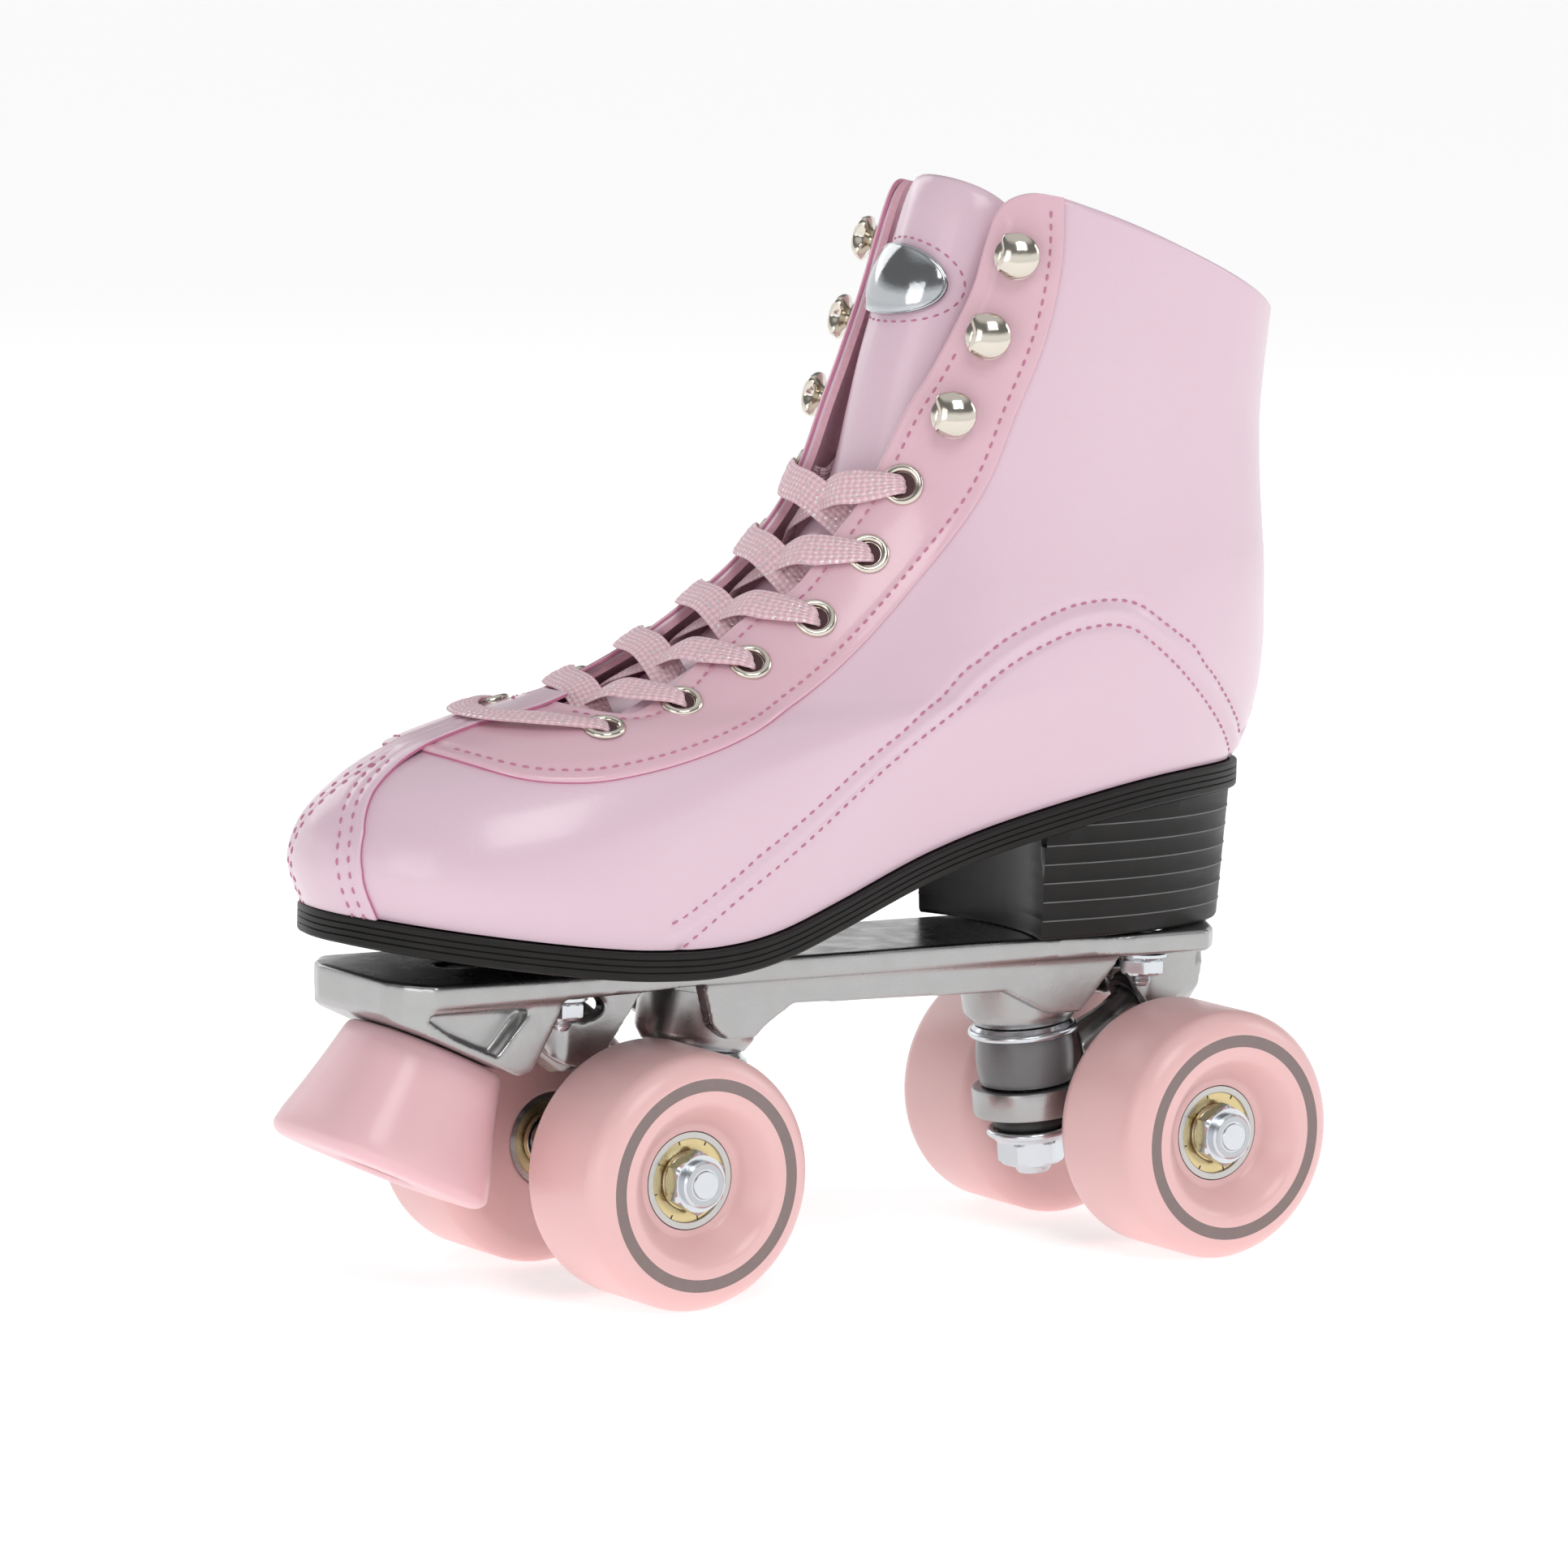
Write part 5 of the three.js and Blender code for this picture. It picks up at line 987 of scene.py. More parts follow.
def make_badge_stitches():
    """Ring of stitches round the badge, laid on the tongue's own face."""
    fine = np.linspace(0, 2 * PI, 721)
    _, _, line = badge_grid(np.full(len(fine), BADGE_STITCH_SCALE), fine, -0.05)
    run = np.r_[0, np.cumsum(np.linalg.norm(np.diff(line, axis=0), axis=1))]
    count = int(run[-1] / BADGE_STITCH_PITCH)
    turn = np.interp(np.arange(count) / count * run[-1], run, fine)
    step = 0.02
    scale = np.full(count, BADGE_STITCH_SCALE)
    _, _, middle = badge_grid(scale, turn, -0.05)
    _, _, before = badge_grid(scale, turn - step, -0.05)
    _, _, after = badge_grid(scale, turn + step, -0.05)
    run = unit(after - before)
    _, _, above = badge_grid(scale, turn, 0.95)
    out = unit(above - middle)
    return settle(make_mesh("badge_stitches", *spindles(middle, run, out), (THREAD,)))


make_badge_stitches()

# ------------------------------------------------------------------ eyelets and hooks

HOOK_RADIUS = 5.3


def seat_on_skin(place, side, lift=0.0):
    """Origin and axes (towards the throat, up along it, outwards) of a fitting on the upper."""
    t, angle = on_skin([place])[0]
    angle = side * angle
    step = 1e-3
    origin = skin(np.array(t), np.array(angle), lift)
    out = skin_normal(np.array(t), np.array(angle))
    inward = unit(upper(t, angle - side * step) - upper(t, angle))
    inward = unit(inward - out * np.dot(inward, out))
    return origin, np.stack([inward, np.cross(out, inward) * side, out])


def rolled_profile():
    """Eyelet: barrel inside, rolled flange outside, and a dark disc across its mouth, painted shade for the
    hollow within it.
    """
    flange = arc(3.9, 0.1, 0.95, 0, 180, 11)
    return [(0, -3.2), (3.35, -3.2), (3.35, 0.0), (4.85, 0.0), *flange, (2.85, 0.1), (0, 0.08)]


def make_eyelets(word, side):
    profile = np.array(rolled_profile())
    a = np.linspace(0, 2 * PI, 40, endpoint=False)
    flat = np.stack([profile[:, :1] * np.cos(a), profile[:, :1] * np.sin(a), profile[:, 1:] + 0 * a], -1)
    one = quads(len(profile), len(a), closed_columns=True, flip=side > 0)
    points, faces = [], []
    for k, place in enumerate(EYELETS):
        origin, axes = seat_on_skin(place, side, OVERLAY)
        points.append(origin + flat @ axes)
        faces.append(one + k * flat[..., 0].size)
    which = np.zeros((len(EYELETS), len(profile) - 1, len(a)), int)
    # the last ring, the disc across the mouth, takes the painted shade
    which[:, -1] = 1
    row = make_mesh(
        f"eyelets_{word}", np.stack(points), np.vstack(faces), (NICKEL, EYELET_PAINTED_SHADE), which.ravel(), 60)
    merge_doubles(row)
    return settle(row, replaces=(f"eyelet_row_{word}",))


def make_hook(word, side, number, place):
    """Lacing hook: rivet, base disc, neck, and a domed head bitten away on the side facing the throat."""
    head = HOOK_RADIUS * np.cos(np.linspace(0, PI / 2, 10))
    dome = 4.0 + 2.7 * np.sin(np.linspace(0, PI / 2, 10))
    levels = [(0, -3.0, 0), (3.0, -3.0, 0), (3.0, -2.4, 0), (1.6, -2.4, 0), (1.6, 0.05, 0), (4.9, 0.05, 0),
              (5.1, 0.4, 0), (4.7, 0.75, 0), (2.6, 1.2, 0), (2.3, 2.2, 0), (3.1, 2.8, 0.3), (4.5, 3.1, 0.8),
              (5.25, 3.5, 1.0)]
    levels += [(r, h, 1.0) for r, h in zip(head, dome)]
    r, h, bitten = np.array(levels, float).T[:, :, None]
    a = np.linspace(-PI, PI, 72, endpoint=False)[None, :]
    shape = 1 + 0.1 * np.exp(-((np.abs(a) - 0.8) / 0.25) ** 2) - 0.42 * np.exp(-((a / 0.5) ** 2))
    radius = r * (1 + bitten * np.minimum(r / HOOK_RADIUS, 1) ** 3 * (shape - 1))
    flat = np.stack([radius * np.cos(a), radius * np.sin(a), h + 0 * a], -1)
    origin, axes = seat_on_skin(place, side, OVERLAY)
    faces = quads(len(levels), a.size, closed_columns=True, flip=side > 0)
    hook = make_mesh(f"lace_hook_{word}_{number}", origin + flat @ axes, faces, (NICKEL,), None, 42)
    merge_doubles(hook)
    return settle(hook, replaces=(f"hook_{word}_{number}",))


for word, side in SIDES:
    make_eyelets(word, side)
    for number, place in enumerate(HOOKS, 1):
        make_hook(word, side, number, place)

# ------------------------------------------------------------------ lace

LACE_WIDTH = 8.2
LACE_PINCHED = 4.2
LACE_THICKNESS = 1.1
LACE_OVER = -0.2
LACE_UNDER = -3.4
LACE_INSIDE = -4.9


def centre_near(place):
    """Ring where the front profile comes nearest to a side-view place."""
    t = np.linspace(0, 1, 400)
    return t[np.argmin(np.linalg.norm(upper(t, 0.0)[:, [0, 2]] - place, axis=1))]


def strand_stops(start):
    """Stops of one strand from the lowest eyelet up: ring, angle, height, width. From each eyelet it dives
    inside, crosses the tongue, and comes over the other side's edge into the next eyelet up."""
    stops = []
    side = start
    eyes = np.array(EYELETS, float)
    for n, eye in enumerate(eyes):
        (t, angle), = on_skin([eye])
        stops += [(t, side * angle, 1.5, LACE_PINCHED), (t, side * angle, -1.5, LACE_PINCHED),
                  (t + 0.002, side * angle, LACE_INSIDE, LACE_PINCHED)]
        if n == len(eyes) - 1:
            stops += [(t + 0.01 * k, side * angle * (1 + 0.25 * k), LACE_INSIDE, 5.0) for k in (1, 2)]
            break
        middle_ring = centre_near((eyes[n] + eyes[n + 1]) / 2)
        middle = upper(middle_ring, 0.0)[[0, 2]]

        def toward(end, share, on, height, width):
            (ring, turn), = on_skin([end + (middle - end) * share])
            stops.append((ring, on * turn, height, width))

        toward(eye, 0.35, side, LACE_INSIDE, 6.5)
        toward(eye, 0.66, side, LACE_INSIDE + 0.4, LACE_WIDTH)
        stops.append((middle_ring, 0.0, LACE_OVER if side > 0 else LACE_UNDER, LACE_WIDTH))
        toward(eyes[n + 1], 0.8, -side, 1.6, LACE_WIDTH)
        toward(eyes[n + 1], 0.58, -side, 2.3, LACE_WIDTH)
        toward(eyes[n + 1], 0.32, -side, 2.7, 6.6)
        toward(eyes[n + 1], 0.12, -side, 2.6, 5.0)
        side = -side
    return stops


def make_lace():
    """One flat lace along both strands and the bar across the lowest eyelets. It lies across the line that
    its crossing takes, and narrows and thickens where an eyelet gathers it."""
    (ring, angle), = on_skin(EYELETS[:1])
    bar = [(ring + 0.004 * (abs(u) < 0.7), angle * u, 2.4 + 0.6 * (abs(u) < 0.7), 3.8 + 3.4 * (abs(u) < 0.7))
           for u in (-0.88, -0.6, -0.3, 0, 0.3, 0.6, 0.88)]
    stops = np.array(strand_stops(-1)[::-1] + bar + strand_stops(1))
    fine = 9 * (len(stops) - 1) + 1
    way = skin(stops[:, 0], stops[:, 1], stops[:, 2])
    place = np.linspace(0, 1, fine)
    centre = np.stack([eased(way[:, k], place) for k in range(3)], -1)
    normal = unit(np.stack([
        np.interp(place, np.linspace(0, 1, len(stops)), skin_normal(stops[:, 0], stops[:, 1])[:, k])
        for k in range(3)], -1))
    width = np.interp(place, np.linspace(0, 1, len(stops)), stops[:, 3])
    reach = 22
    padded = np.pad(centre, ((reach, reach), (0, 0)), mode="edge")
    chord = padded[2 * reach:] - padded[:-2 * reach]
    run = np.gradient(centre, axis=0)
    flat = unit(chord - normal * np.sum(chord * normal, -1, keepdims=True))
    across = unit(np.cross(normal, flat))
    for _ in range(6):
        across = unit(across + np.roll(across, 1, 0) + np.roll(across, -1, 0))
    lift = unit(np.cross(unit(run), across))
    lift = lift * np.sign(np.sum(lift * normal, -1, keepdims=True) + 1e-6)
    across = unit(np.cross(lift, unit(run))) * np.sign(
        np.sum(np.cross(lift, unit(run)) * across, -1, keepdims=True))
    thick = LACE_THICKNESS * np.sqrt(LACE_WIDTH / width)
    count = 22
    k = np.linspace(-1, 1, count // 2)
    pillow = np.sqrt(np.clip(1 - np.abs(k) ** 3, 0.02, 1)) * (1 + 0.12 * np.cos(7 * PI * (k + 1)) * 0.8)
    profile = np.concatenate([np.stack([k, pillow], -1), np.stack([k[::-1], -pillow[::-1]], -1)])
    loops = (centre[:, None]
             + across[:, None] * (profile[None, :, :1] * width[:, None, None] / 2)
             + lift[:, None] * (profile[None, :, 1:] * thick[:, None, None] / 2))
    length = np.concatenate([[0], np.cumsum(np.linalg.norm(np.diff(centre, axis=0), axis=1))])
    uv = np.stack([np.repeat(length[:, None] / 1.6, len(profile), 1),
                   np.repeat((profile[None, :, 0] + 1) / 2, fine, 0)], -1)
    lace = sections("lace_ribbon", loops, (LACE,), sharp=70, uv=uv, flip=True)
    return settle(lace, replaces=("lace",))


make_lace()

# ------------------------------------------------------------------ sole, heel and insole

HEEL_TAPER = 3


def sole_outline(widen, height, count=260):
    """Closed outline of the sole at the feather line, widened, with a height for each x."""
    a = np.linspace(0, 2 * PI, count, endpoint=False)
    edge, other = upper(0.0, a), upper(0.0, -a)
    middle = (edge[:, 1] + other[:, 1]) / 2
    half = np.abs(edge[:, 1] - other[:, 1]) / 2 + widen * np.abs(np.sin(a))
    x = edge[:, 0] + widen * np.cos(a)
    return np.stack([x, middle + np.sign(np.sin(a) + 1e-12) * half, height(x)], -1)


def make_outsole():
    """Black sole: its edge is waxed smooth between three fine grooves, with small rounded corners."""
    depth = [(0.2, -1.0), (0.35, -0.25), (0.7, 0.0)]
    for groove in (1.9, 3.3, 4.7):
        depth += [(groove - 0.22, 0.0), (groove, -0.28), (groove + 0.22, 0.0)]
    depth += [(6.1, -0.05), (6.5, -0.35), (6.7, -1.0), (6.7, -6.0)]
    depth = [(0.2, -4.0)] + depth
    loops = np.stack([
        sole_outline(SOLE_WELT + inset, lambda x, low=low: sole_top(x) - low - 0.25) for low, inset in depth])
    sole = sections("sole_edge", loops, (SOLE,), sharp=28, flip=True)
    return settle(sole, replaces=("outsole",))


HEEL_ROUND_POINTS = 120
HEEL_BREAST_POINTS = 39


def heel_outline(z, widen):
    """Outline of the heel at a height: the sole's back, then a breast that is hollow across."""
    back_x, toe_x = SOLE_LINE[0][0], SOLE_LINE[-1][0]
    past = math.acos((2 * HEEL_BREAST_X - back_x - toe_x) / (toe_x - back_x))
    a = np.linspace(past, 2 * PI - past, HEEL_ROUND_POINTS)
    edge, other = upper(0.0, a), upper(0.0, -a)
    middle = (edge[:, 1] + other[:, 1]) / 2
    half = np.abs(edge[:, 1] - other[:, 1]) / 2 + widen * np.abs(np.sin(a))
    x = edge[:, 0] + widen * np.cos(a)
    round_part = np.stack([x, middle + np.sign(np.sin(a)) * half], -1)
    lean = 3.6 * ((z - PLATE_TOP) / 36) ** 2
    u = np.linspace(-1, 1, HEEL_BREAST_POINTS + 2)[1:-1]
    y0, y1 = round_part[-1, 1], round_part[0, 1]
    hollow = HEEL_BREAST_X + lean - 5.5 * (1 - np.abs(u) ** 2.2)
    round_part[:, 0] = np.minimum(round_part[:, 0], HEEL_BREAST_X + lean)
    breast = np.stack([hollow, (y0 + y1) / 2 + u * (y1 - y0) / 2], -1)
    return np.vstack([round_part, breast])


def make_heel():
    """Stacked heel: fine lines stand a little proud of its wall, one per layer; their pale grey is a painted
    highlight on the ridges.
    """
    low, top = PLATE_TOP + 0.35, 118
    levels = [(low, -0.9), (low + 0.3, -0.3), (low + 0.9, 0.0)]
    marks = np.arange(low + 4.4, 108, 4.4)
    for mark in marks:
        levels += [(mark - 0.4, 0.0), (mark - 0.15, 0.16), (mark + 0.15, 0.16), (mark + 0.4, 0.0)]
    levels += [(top, 0.0)]
    loops, strips = [], []
    for z, swell in levels:
        shrink = HEEL_TAPER * (1 - (z - low) / 44)
        outline = heel_outline(z, SOLE_WELT - 1 - shrink + swell)
        ceiling = sole_top(outline[:, 0]) - SOLE_THICKNESS - 0.35
        loops.append(np.column_stack([outline, np.minimum(z, ceiling)]))
    loops = np.stack(loops)
    wall, around = HEEL_ROUND_POINTS - 1, HEEL_ROUND_POINTS + HEEL_BREAST_POINTS
    heel = sections("heel_stack", loops, (SOLE, BREAST, HEEL_RIDGE_PAINTED_HIGHLIGHT),
                    strips=np.where(np.arange(around) < wall, 0, 1), sharp=40, flip=False)
    bands = np.zeros((len(levels) - 1, around), int)
    bands[:, wall:] = 1
    for k in range(len(marks)):
        # the top band of each ridge takes the pale grey painted highlight
        bands[4 + 4 * k, :wall] = 2
    heel.data.polygons.foreach_set("material_index", np.concatenate([
        bands.ravel(), np.zeros(len(heel.data.polygons) - bands.size, int)]).astype(np.int32))
    return settle(merge_doubles(heel, 0.02), replaces=("heel_block",))


def make_insole():
    low = 0.7
    rise = [(low, -4.6), (low, -3.4), (low + 0.5, -3.2),
            (low + 3.0, -3.4), (low + 3.4, -4.2), (low + 3.5, -8.0)]
    loops = np.stack([sole_outline(inset, lambda x, up=up: sole_top(x) + up) for up, inset in rise])
    return settle(sections("sock_liner", loops, (INSOLE,), sharp=40), replaces=("insole",))


make_outsole()
make_heel()
make_insole()

# ------------------------------------------------------------------ wheels and axles


BEARING_SEAT = 11.15


def wheel_profile():
    """Tread wheel from its inner bearing seat round the tread to the dish: radius and distance out."""
    lip = [(WHEEL_RADIUS - LIP + LIP * math.cos(a), LIP * math.sin(a))
           for a in np.radians(np.linspace(-90, 90, 24))]
    inner = [(r, WHEEL_BACK + LIP + h) for r, h in lip if h <= 0]
    outer = [(r, WHEEL_FACE - LIP + h) for r, h in lip if h >= 0]
    dish = [(DISH_RADIUS - 0.3, WHEEL_FACE - 0.12), (DISH_RADIUS - 1.0, WHEEL_FACE - 0.55),
            (DISH_RADIUS - 1.9, WHEEL_FACE - 1.5), (DISH_RADIUS - 3.1, WHEEL_FACE - 3.1),
            (DISH_RADIUS - 4.5, WHEEL_FACE - 4.9), (DISH_RADIUS - 5.6, WHEEL_FACE - 6.1),
            (12.9, WHEEL_FACE - 6.8), (12.4, WHEEL_FACE - DISH_DEPTH),
            (BEARING_SEAT, WHEEL_FACE - DISH_DEPTH)]
    outer_stop = WHEEL_FACE - DISH_DEPTH - BEARING_WIDTH - 0.3
    inner_stop = WHEEL_BACK + BEARING_WIDTH + 0.6
    bore = [(BEARING_SEAT, outer_stop), (8.6, outer_stop), (8.6, inner_stop), (BEARING_SEAT, inner_stop),
            (BEARING_SEAT, WHEEL_BACK)]
    ring = [(24.0, WHEEL_FACE), (23.9, WHEEL_FACE), (21.1, WHEEL_FACE), (21.0, WHEEL_FACE),
            (DISH_RADIUS, WHEEL_FACE)]
    outer = [p for p in outer if p[0] > 24.2]
    back = [(BEARING_SEAT, WHEEL_BACK), (11.8, WHEEL_BACK), (22.8, WHEEL_BACK)]
    rows = back + inner[1:] + outer + ring + dish + bore
    band = len(rows) - len(bore) - len(dish) - len(ring) + 1
    strips = np.zeros(len(rows) - 1, int)
    strips[band] = 1
    return rows, strips


def bearing_profile(low):
    """Shielded bearing: inner ring, dished shield let in below the rings, outer ring."""
    high = low + BEARING_WIDTH
    shield = 0.55
    top = [(10.9, high), (9.55, high), (9.4, high - 0.15), (9.4, high - shield), (7.0, high - shield + 0.06),
           (6.6, high - shield - 0.1), (6.3, high - shield), (6.3, high - 0.1), (6.2, high), (4.4, high)]
    foot = [(r, low + high - h) for r, h in reversed(top)]
    rows = foot + [(11.0, low + 0.25), (11.0, high - 0.25)] + top + [foot[0]]
    strips = np.zeros(len(rows) - 1, int)
    radii = np.array(rows)[:, 0]
    middle = (radii[1:] + radii[:-1]) / 2
    strips[(middle > 6.32) & (middle < 9.38)] = 1
    return rows, strips


def hexagon(flats, levels, count=72):
    """Hexagonal section loops at heights, each cut back to a radius so that corners are chamfered."""
    a = np.linspace(0, 2 * PI, count, endpoint=False)
    corner = (a + PI / 6) % (PI / 3) - PI / 6
    side = flats / 2 / np.cos(corner)
    loops = []
    for limit, height in levels:
        radius = np.minimum(side, limit)
        loops.append(np.stack([radius * np.cos(a), radius * np.sin(a), height + 0 * a], -1))
    return np.stack(loops)


def carried(points, place, direction):
    turn = Vector((0, 0, 1)).rotation_difference(Vector(direction)).to_matrix()
    return points @ np.array(turn).T + np.asarray(place, float)


def hex_nut(name, flats, low, high, place, direction, finish, collar=None):
    """Chamfered hexagon nut, with a rounded nylon collar on top where one is given as (radius, height)."""
    corner = flats / math.sqrt(3)
    levels = [(0.01, low), (corner - 0.9, low), (corner - 0.05, low + 0.55), (corner + 1, low + 0.8),
              (corner + 1, high - 0.8), (corner - 0.05, high - 0.55), (corner - 0.9, high)]
    if collar:
        radius, height = collar
        levels += [(radius, high), (radius, high + height - 0.6), (radius - 0.5, high + height - 0.1),
                   (radius - 1.4, high + height)]
    levels += [(0.01, levels[-1][1])]
    loops = carried(hexagon(flats, levels), place, direction)
    faces = quads(len(levels), loops.shape[1], closed_columns=True, flip=True)
    return merge_doubles(make_mesh(name, loops, faces, (finish,), None, 28))


def threaded(name, radius, low, high, place, direction, finish, pitch=1.25, depth=0.42):
    """Rod with rolled threads between two heights and a chamfered end."""
    h = np.arange(low, high - 1.0, pitch / 6)
    r = radius - depth * (0.5 - 0.5 * np.cos(2 * PI * (h - low) / pitch))
    rows = [(0, low), (radius - depth, low)] + list(zip(r[1:], h[1:])) + [(radius - depth, high - 0.9),
                                                                          (radius - 1.0, high), (0, high)]
    return turned(name, rows, place, direction, (finish,), facets=40, sharp=50)


def make_wheel(end, sign, word, side):
    name = f"{end}_{word}"
    body = f"{name}_wheel"
    place = (sign * HALF_BASE, 0, AXLE_Z)
    out = (0, side, 0)
    rows, strips = wheel_profile()
    tyre = turned(f"{name}_tyre", rows, place, out, (WHEEL_PINK, PRINT), strips, facets=144, sharp=60)
    settle(tyre, body, (f"{name}_wheel",))
    for where, low in (("outer", WHEEL_FACE - DISH_DEPTH - BEARING_WIDTH), ("inner", WHEEL_BACK + 0.3)):
        rows, strips = bearing_profile(low)
        race = turned(f"{name}_{where}_race", rows, place, out, (STEEL, BRASS), strips, facets=96, sharp=30)
        slots = [slot_marks(f"{name}_{where}_marks", low + BEARING_WIDTH - 0.5, place, out)]
        settle(joined(f"{name}_{where}_race", [race] + slots), body, (f"{name}_{where}_bearing",))
    truck = f"{end}_truck"
    nut_low = WHEEL_FACE - DISH_DEPTH + 0.3
    nut = hex_nut(f"{name}_lock_nut", 12.7, nut_low, nut_low + 4.2, place, out, ZINC, (5.3, 1.8))
    settle(nut, truck, (f"{name}_axle_nut",))
    insert = [(3.6, nut_low + 4.3), (4.75, nut_low + 5.2), (4.75, nut_low + 6.06), (3.6, nut_low + 6.06),
              (3.6, nut_low + 4.3)]
    seal = turned(f"{name}_nut_insert", insert, place, out, (NYLON,))
    settle(seal, truck)


def slot_marks(name, height, place, direction):
    """Eight crimps round a bearing's shield where it is pressed into the ring."""
    a = np.arange(8) * PI / 4 + 0.3
    half, radii = 0.09, (8.5, 9.35)
    corner = [(radii[0], -half), (radii[1], -half), (radii[1], half), (radii[0], half)]
    levels = []
    for h in (-0.3, 0.1):
        levels.append(np.stack([
            np.stack([r * np.cos(a) - s * r / 2 * np.sin(a), r * np.sin(a) + s * r / 2 * np.cos(a),
                      height + h + 0 * a], -1) for r, s in ((r, s * 0.25) for r, s in corner)], 1))
    points = carried(np.stack(levels, 1), place, direction)
    box = quads(2, 4, closed_columns=True, flip=True)
    box = np.vstack([box, [[4, 5, 6, 7]]])
    faces = (box[None] + (np.arange(8) * 8)[:, None, None]).reshape(-1, 4)
    return make_mesh(name, points, faces, (RUBBER,), None, 30)


def make_axle(end, sign):
    place, along = (sign * HALF_BASE, 0, AXLE_Z), (0, 1, 0)
    tip = WHEEL_FACE - 0.3
    rod = turned(f"{end}_axle_rod", [(0, -36), (AXLE_RADIUS - 0.05, -36), (AXLE_RADIUS - 0.05, 36), (0, 36)],
                 place, along, (ZINC,), facets=48)
    tips = [threaded(f"{end}_axle_tip_{word}", AXLE_RADIUS, 35.9, tip, place, (0, side, 0), ZINC)
            for word, side in SIDES]
    return settle(joined(f"{end}_axle_rod", [rod] + tips), f"{end}_truck", (f"{end}_axle",))


# ------------------------------------------------------------------ trucks

BULGE = 0.75


def truck_lines(sign):
    """Ring centre and kingpin direction of a truck."""
    centre = np.array([sign * KINGPIN_X, 0, RING_Z])
    kingpin = np.array([-sign * math.sin(KINGPIN_TILT), 0, math.cos(KINGPIN_TILT)])
    return centre, kingpin


KINGPIN_BORE = 5.05


def cushion_rows(radius, low, height):
    """Urethane cushion: rounded ends, pinched a little below its top and bulging low down."""
    u = np.linspace(0, 1, 22)
    side = radius - BULGE + BULGE * np.sin(PI * u) ** 0.7
    rows = [(KINGPIN_BORE, low), (radius - 1.8, low)]
    rows += [(r, low + 0.35 + (height - 0.7) * k) for r, k in zip(side, u)]
    return rows + [(radius - 1.8, low + height), (KINGPIN_BORE, low + height), (KINGPIN_BORE, low)]


def washer_rows(radius, low, lip_down):
    """Cupped washer with a rolled rim towards its cushion."""
    high = low + WASHER
    rim = arc(radius - 0.95, low - 0.25, 0.95, -170, 90, 14)
    rows = [(KINGPIN_BORE, low), (radius - 2.2, low), *rim, (radius - 1.6, high), (KINGPIN_BORE, high),
            (KINGPIN_BORE, low)]
    return rows if lip_down else [(r, 2 * low + WASHER - h) for r, h in reversed(rows)]


def make_truck_fittings(end, sign):
    centre, kingpin = truck_lines(sign)
    pieces = (
        ("upper_cushion", UPPER_CUSHION, CUSHION_LOW, CUSHION, "cushion"),
        ("lower_cushion", LOWER_CUSHION, -CUSHION_LOW - LOWER_CUSHION[1], RUBBER, "cushion_dark"))
    for name, (radius, height), low, finish, slot in pieces:
        piece = turned(f"{end}_{name}_body", cushion_rows(radius, low, height), centre, kingpin, (finish,),
                       facets=72, sharp=50)
        fixed_end, ring_end = (low + height, low) if low > 0 else (low, low + height)
        start, finish_at = (centre + kingpin * h for h in (fixed_end, ring_end))
        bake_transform(piece)
        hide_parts(f"{end}_{name}")
    upper_low = CUSHION_LOW + UPPER_CUSHION[1] + GAP
    lower_low = -CUSHION_LOW - LOWER_CUSHION[1] - GAP - WASHER
    washers = (("upper_washer", 12.9, upper_low, True), ("lower_washer", 10.4, lower_low, False))
    for name, radius, low, down in washers:
        rows = washer_rows(radius, low, down)
        cup = turned(f"{end}_{name}_cup", rows, centre, kingpin, (ZINC,), facets=96, sharp=40)
        settle(cup, BOOT, (f"{end}_{name}",))
    nut_top = lower_low - GAP
    nut = hex_nut(f"{end}_kingpin_hex", 14, nut_top - 5.6, nut_top, centre, kingpin, ZINC)
    settle(nut, BOOT, (f"{end}_kingpin_nut",))
    foot = nut_top - 5.6 - 2.4
    tip = threaded(f"{end}_kingpin_tip", 4.7, -nut_top + 5, -foot, centre, -kingpin, ZINC)
    shank_low, shank_high = nut_top - 5.2, upper_low + 18.5
    rows = [(0, shank_low), (4.7, shank_low), (4.7, shank_high), (0, shank_high)]
    shank = turned(f"{end}_kingpin_shank", rows, centre, kingpin, (ZINC,), facets=48)
    settle(joined(f"{end}_kingpin_bolt", [shank, tip]), BOOT, (f"{end}_kingpin",))


def turned_collar(name, rows, sign):
    """Round surface over the part of a casting that goes round the kingpin."""
    centre, kingpin = truck_lines(sign)
    return turned(name, rows + [rows[0]], centre, kingpin, (CAST,), facets=96, sharp=35)


def cast_copy(node, name, voxel_mm, body, collars=()):
    """Casting made from a CAD node: remeshed fine and relaxed so that its edges are rounded as cast, with
    true round surfaces laid over its faceted collars."""
    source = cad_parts[node]
    mesh = source.data.copy()
    piece = bpy.data.objects.new(name, mesh)
    bpy.context.scene.collection.objects.link(piece)
    remesh = piece.modifiers.new("remesh", "REMESH")
    remesh.mode = "VOXEL"
    remesh.voxel_size = voxel_mm * MM
    relax = piece.modifiers.new("relax", "SMOOTH")
    relax.factor = 0.5
    relax.iterations = 9
    bpy.context.view_layer.update()
    cooked = bpy.data.meshes.new_from_object(piece.evaluated_get(bpy.context.evaluated_depsgraph_get()))
    piece.modifiers.clear()
    piece.data = cooked
    cooked.materials.clear()
    cooked.materials.append(CAST)
    cooked.shade_smooth()
    return settle(joined(name, [piece, *collars]), body, (node,))


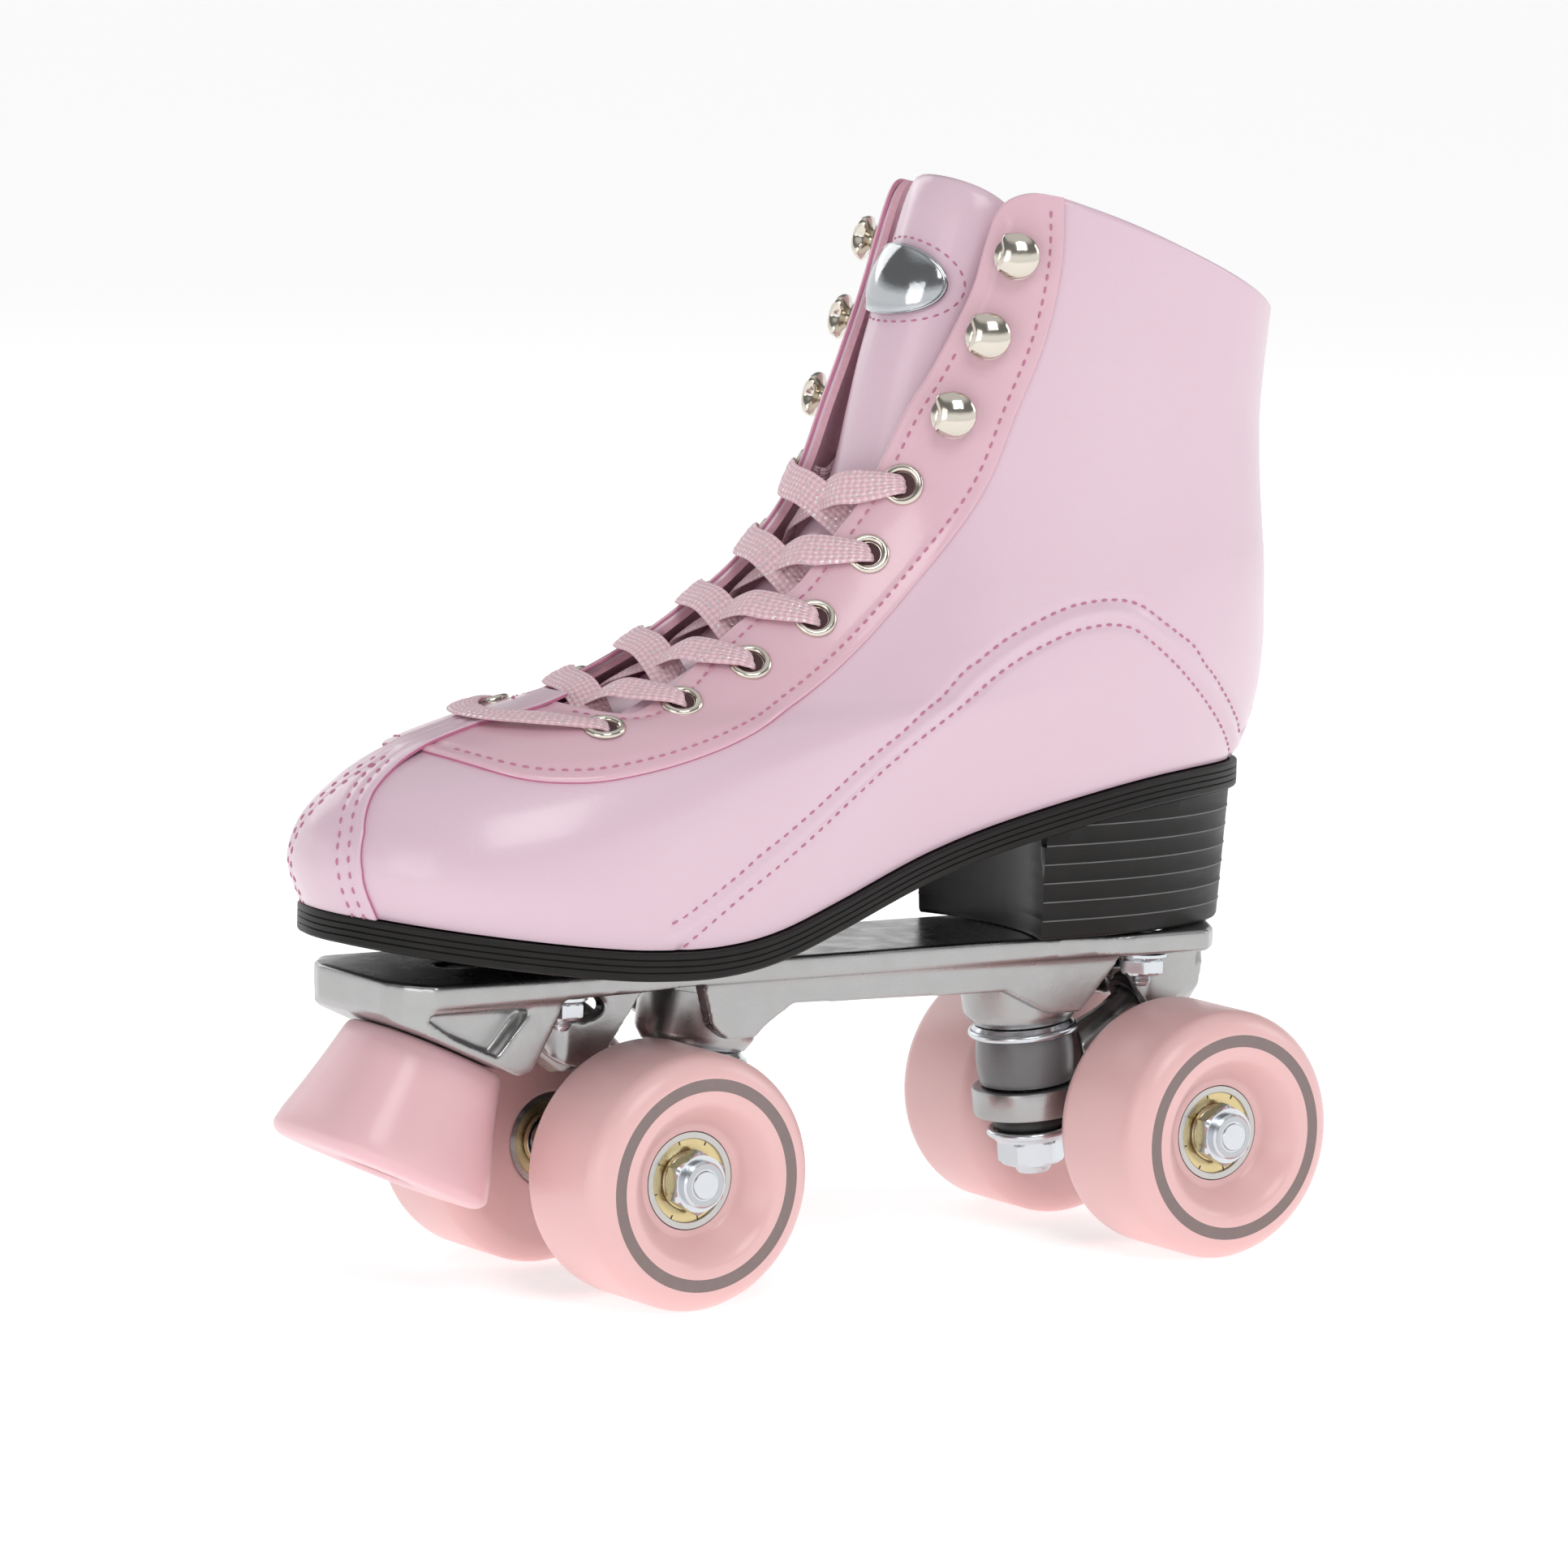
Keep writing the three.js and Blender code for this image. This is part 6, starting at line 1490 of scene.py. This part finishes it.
BOSS_LOW = CUSHION_LOW + UPPER_CUSHION[1] + WASHER + 2 * GAP
RING_ROWS = [(11.2, -3.3), (12.3, -3.45), (12.85, -3.2), (13.1, -2.6),
             (13.1, 2.6), (12.85, 3.2), (12.3, 3.45), (11.2, 3.3)]
BOSS_ROWS = [(9.5, BOSS_LOW), (11.0, BOSS_LOW), (11.9, BOSS_LOW + 0.4), (13.4, BOSS_LOW + 2.6),
             (13.7, BOSS_LOW + 3.4), (14.1, BOSS_LOW + 13), (12.5, BOSS_LOW + 13)]

for end, sign in ENDS:
    for word, side in SIDES:
        make_wheel(end, sign, word, side)
    make_axle(end, sign)
    make_truck_fittings(end, sign)
    ring = turned_collar(f"{end}_ring", RING_ROWS, sign)
    cast_copy(f"{end}_hanger", f"{end}_hanger_casting", 0.45, f"{end}_truck", [ring])
cast_copy("plate", "plate_casting", 0.6, BOOT, [
    turned_collar(f"{end}_boss", BOSS_ROWS, sign) for end, sign in ENDS])

# ------------------------------------------------------------------ plate bolts and toe stop


def make_mount_bolt(word, sign, name, side):
    x, y = MOUNT_BOLTS[0 if sign > 0 else 1]
    place = (x, side * y, 0)
    nut_top = PLATE_TOP - FLANGE - GAP
    up, down = (0, 0, 1), (0, 0, -1)
    flange_rows = [(0, nut_top - 1.3), (5.0, nut_top - 1.3), (5.9, nut_top - 0.7), (5.9, nut_top),
                   (0, nut_top)]
    head_rows = [(0, PLATE_TOP + 0.3), (5, PLATE_TOP + 0.3), (4.6, PLATE_TOP + 1.1), (3.2, PLATE_TOP + 1.6),
                 (0, PLATE_TOP + 1.75)]
    shank_rows = [(0, nut_top - 4), (2.4, nut_top - 4), (2.4, PLATE_TOP + 0.6), (0, PLATE_TOP + 0.6)]
    flange = turned(f"{name}_flange", flange_rows, place, up, (ZINC,))
    body = hex_nut(f"{name}_hex", 9.5, 1.1 - nut_top, 5.0 - nut_top, place, down, ZINC)
    end = threaded(f"{name}_thread", 2.5, 4.5 - nut_top, 13.3 - PLATE_TOP, place, down, ZINC, 0.9, 0.3)
    head = turned(f"{name}_head", head_rows, place, up, (ZINC,))
    shank = turned(f"{name}_shank", shank_rows, place, up, (ZINC,), facets=24)
    return settle(joined(f"{name}_set", [flange, body, end, head, shank]), BOOT, (name,))


def make_toe_stop():
    """Tapered urethane block with rounded corners, bored for its bolt."""
    top, foot = STOP_HALF
    axis = np.array([math.sin(STOP_TILT), 0, -math.cos(STOP_TILT)])
    count = 96
    a = np.linspace(0, 2 * PI, count, endpoint=False) + PI / count

    def square(half, corner, z):
        """Rounded square with faintly bowed sides."""
        power = 2 + 1.9 * (1 - corner / half)
        r = half / (np.abs(np.cos(a)) ** power + np.abs(np.sin(a)) ** power) ** (1 / power)
        return np.stack([r * np.cos(a), r * np.sin(a), z + 0 * a], -1)

    levels = [square(4.35, 4.3, 0.0), square(top - 2.6, 9, 0.0), square(top - 1.3, 9.3, 0.25),
              square(top - 0.5, 9.6, 0.9), square(top, 10, 2.0)]
    for u in np.linspace(0.1, 0.9, 9):
        levels.append(square(top + (foot - top) * u - 0.25 * math.sin(PI * u), 10 + u * 1.5, 2 + 24.2 * u))
    for k in np.linspace(0, PI / 2, 9):
        levels.append(square(foot - 2.8 + 2.8 * math.cos(k), 11.5, STOP_HEIGHT - 2.8 + 2.8 * math.sin(k)))
    levels += [square(9.2, 9, STOP_HEIGHT), square(8.6, 8.5, STOP_HEIGHT - 0.5),
               square(8.5, 8.4, STOP_HEIGHT - 12), square(4.35, 4.3, STOP_HEIGHT - 12)]
    bored = np.linspace(0, 2 * PI, count, endpoint=False) + PI / count
    for index, radius in ((0, 4.35), (-3, 8.6), (-2, 8.5), (-1, 4.35)):
        levels[index][:, 0] = radius * np.cos(bored)
        levels[index][:, 1] = radius * np.sin(bored)
    levels.append(levels[0])
    loops = carried(np.stack(levels), STOP_SEAT, axis)
    faces = quads(len(levels), count, closed_columns=True, flip=True)
    block = merge_doubles(make_mesh("toe_stop_block", loops, faces, (STOP_PINK,), None, 50))
    settle(block, replaces=("toe_stop",))
    head_low = STOP_HEIGHT - 11.6
    head = hex_nut("toe_stop_hex", 13, head_low, head_low + 5.8, STOP_SEAT, axis, ZINC)
    shank_rows = [(0, -13.8), (4, -13.8), (4, head_low + 1), (0, head_low + 1)]
    shank = turned("toe_stop_shank", shank_rows, STOP_SEAT, axis, (ZINC,), facets=40)
    settle(joined("toe_stop_screw", [head, shank]), BOOT, ("toe_stop_bolt",))


for end, sign in ENDS:
    for word, side in SIDES:
        make_mount_bolt(end, sign, f"mount_bolt_{end}_{word}", side)
make_toe_stop()

# ------------------------------------------------------------------ pieces kept as the frame has them

for end, _ in ENDS:
    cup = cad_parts[f"{end}_pivot_cup"]
    for entry in cup.material_slots:
        entry.material = RUBBER
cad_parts["heel_counter"].material_slots[0].material = LINING
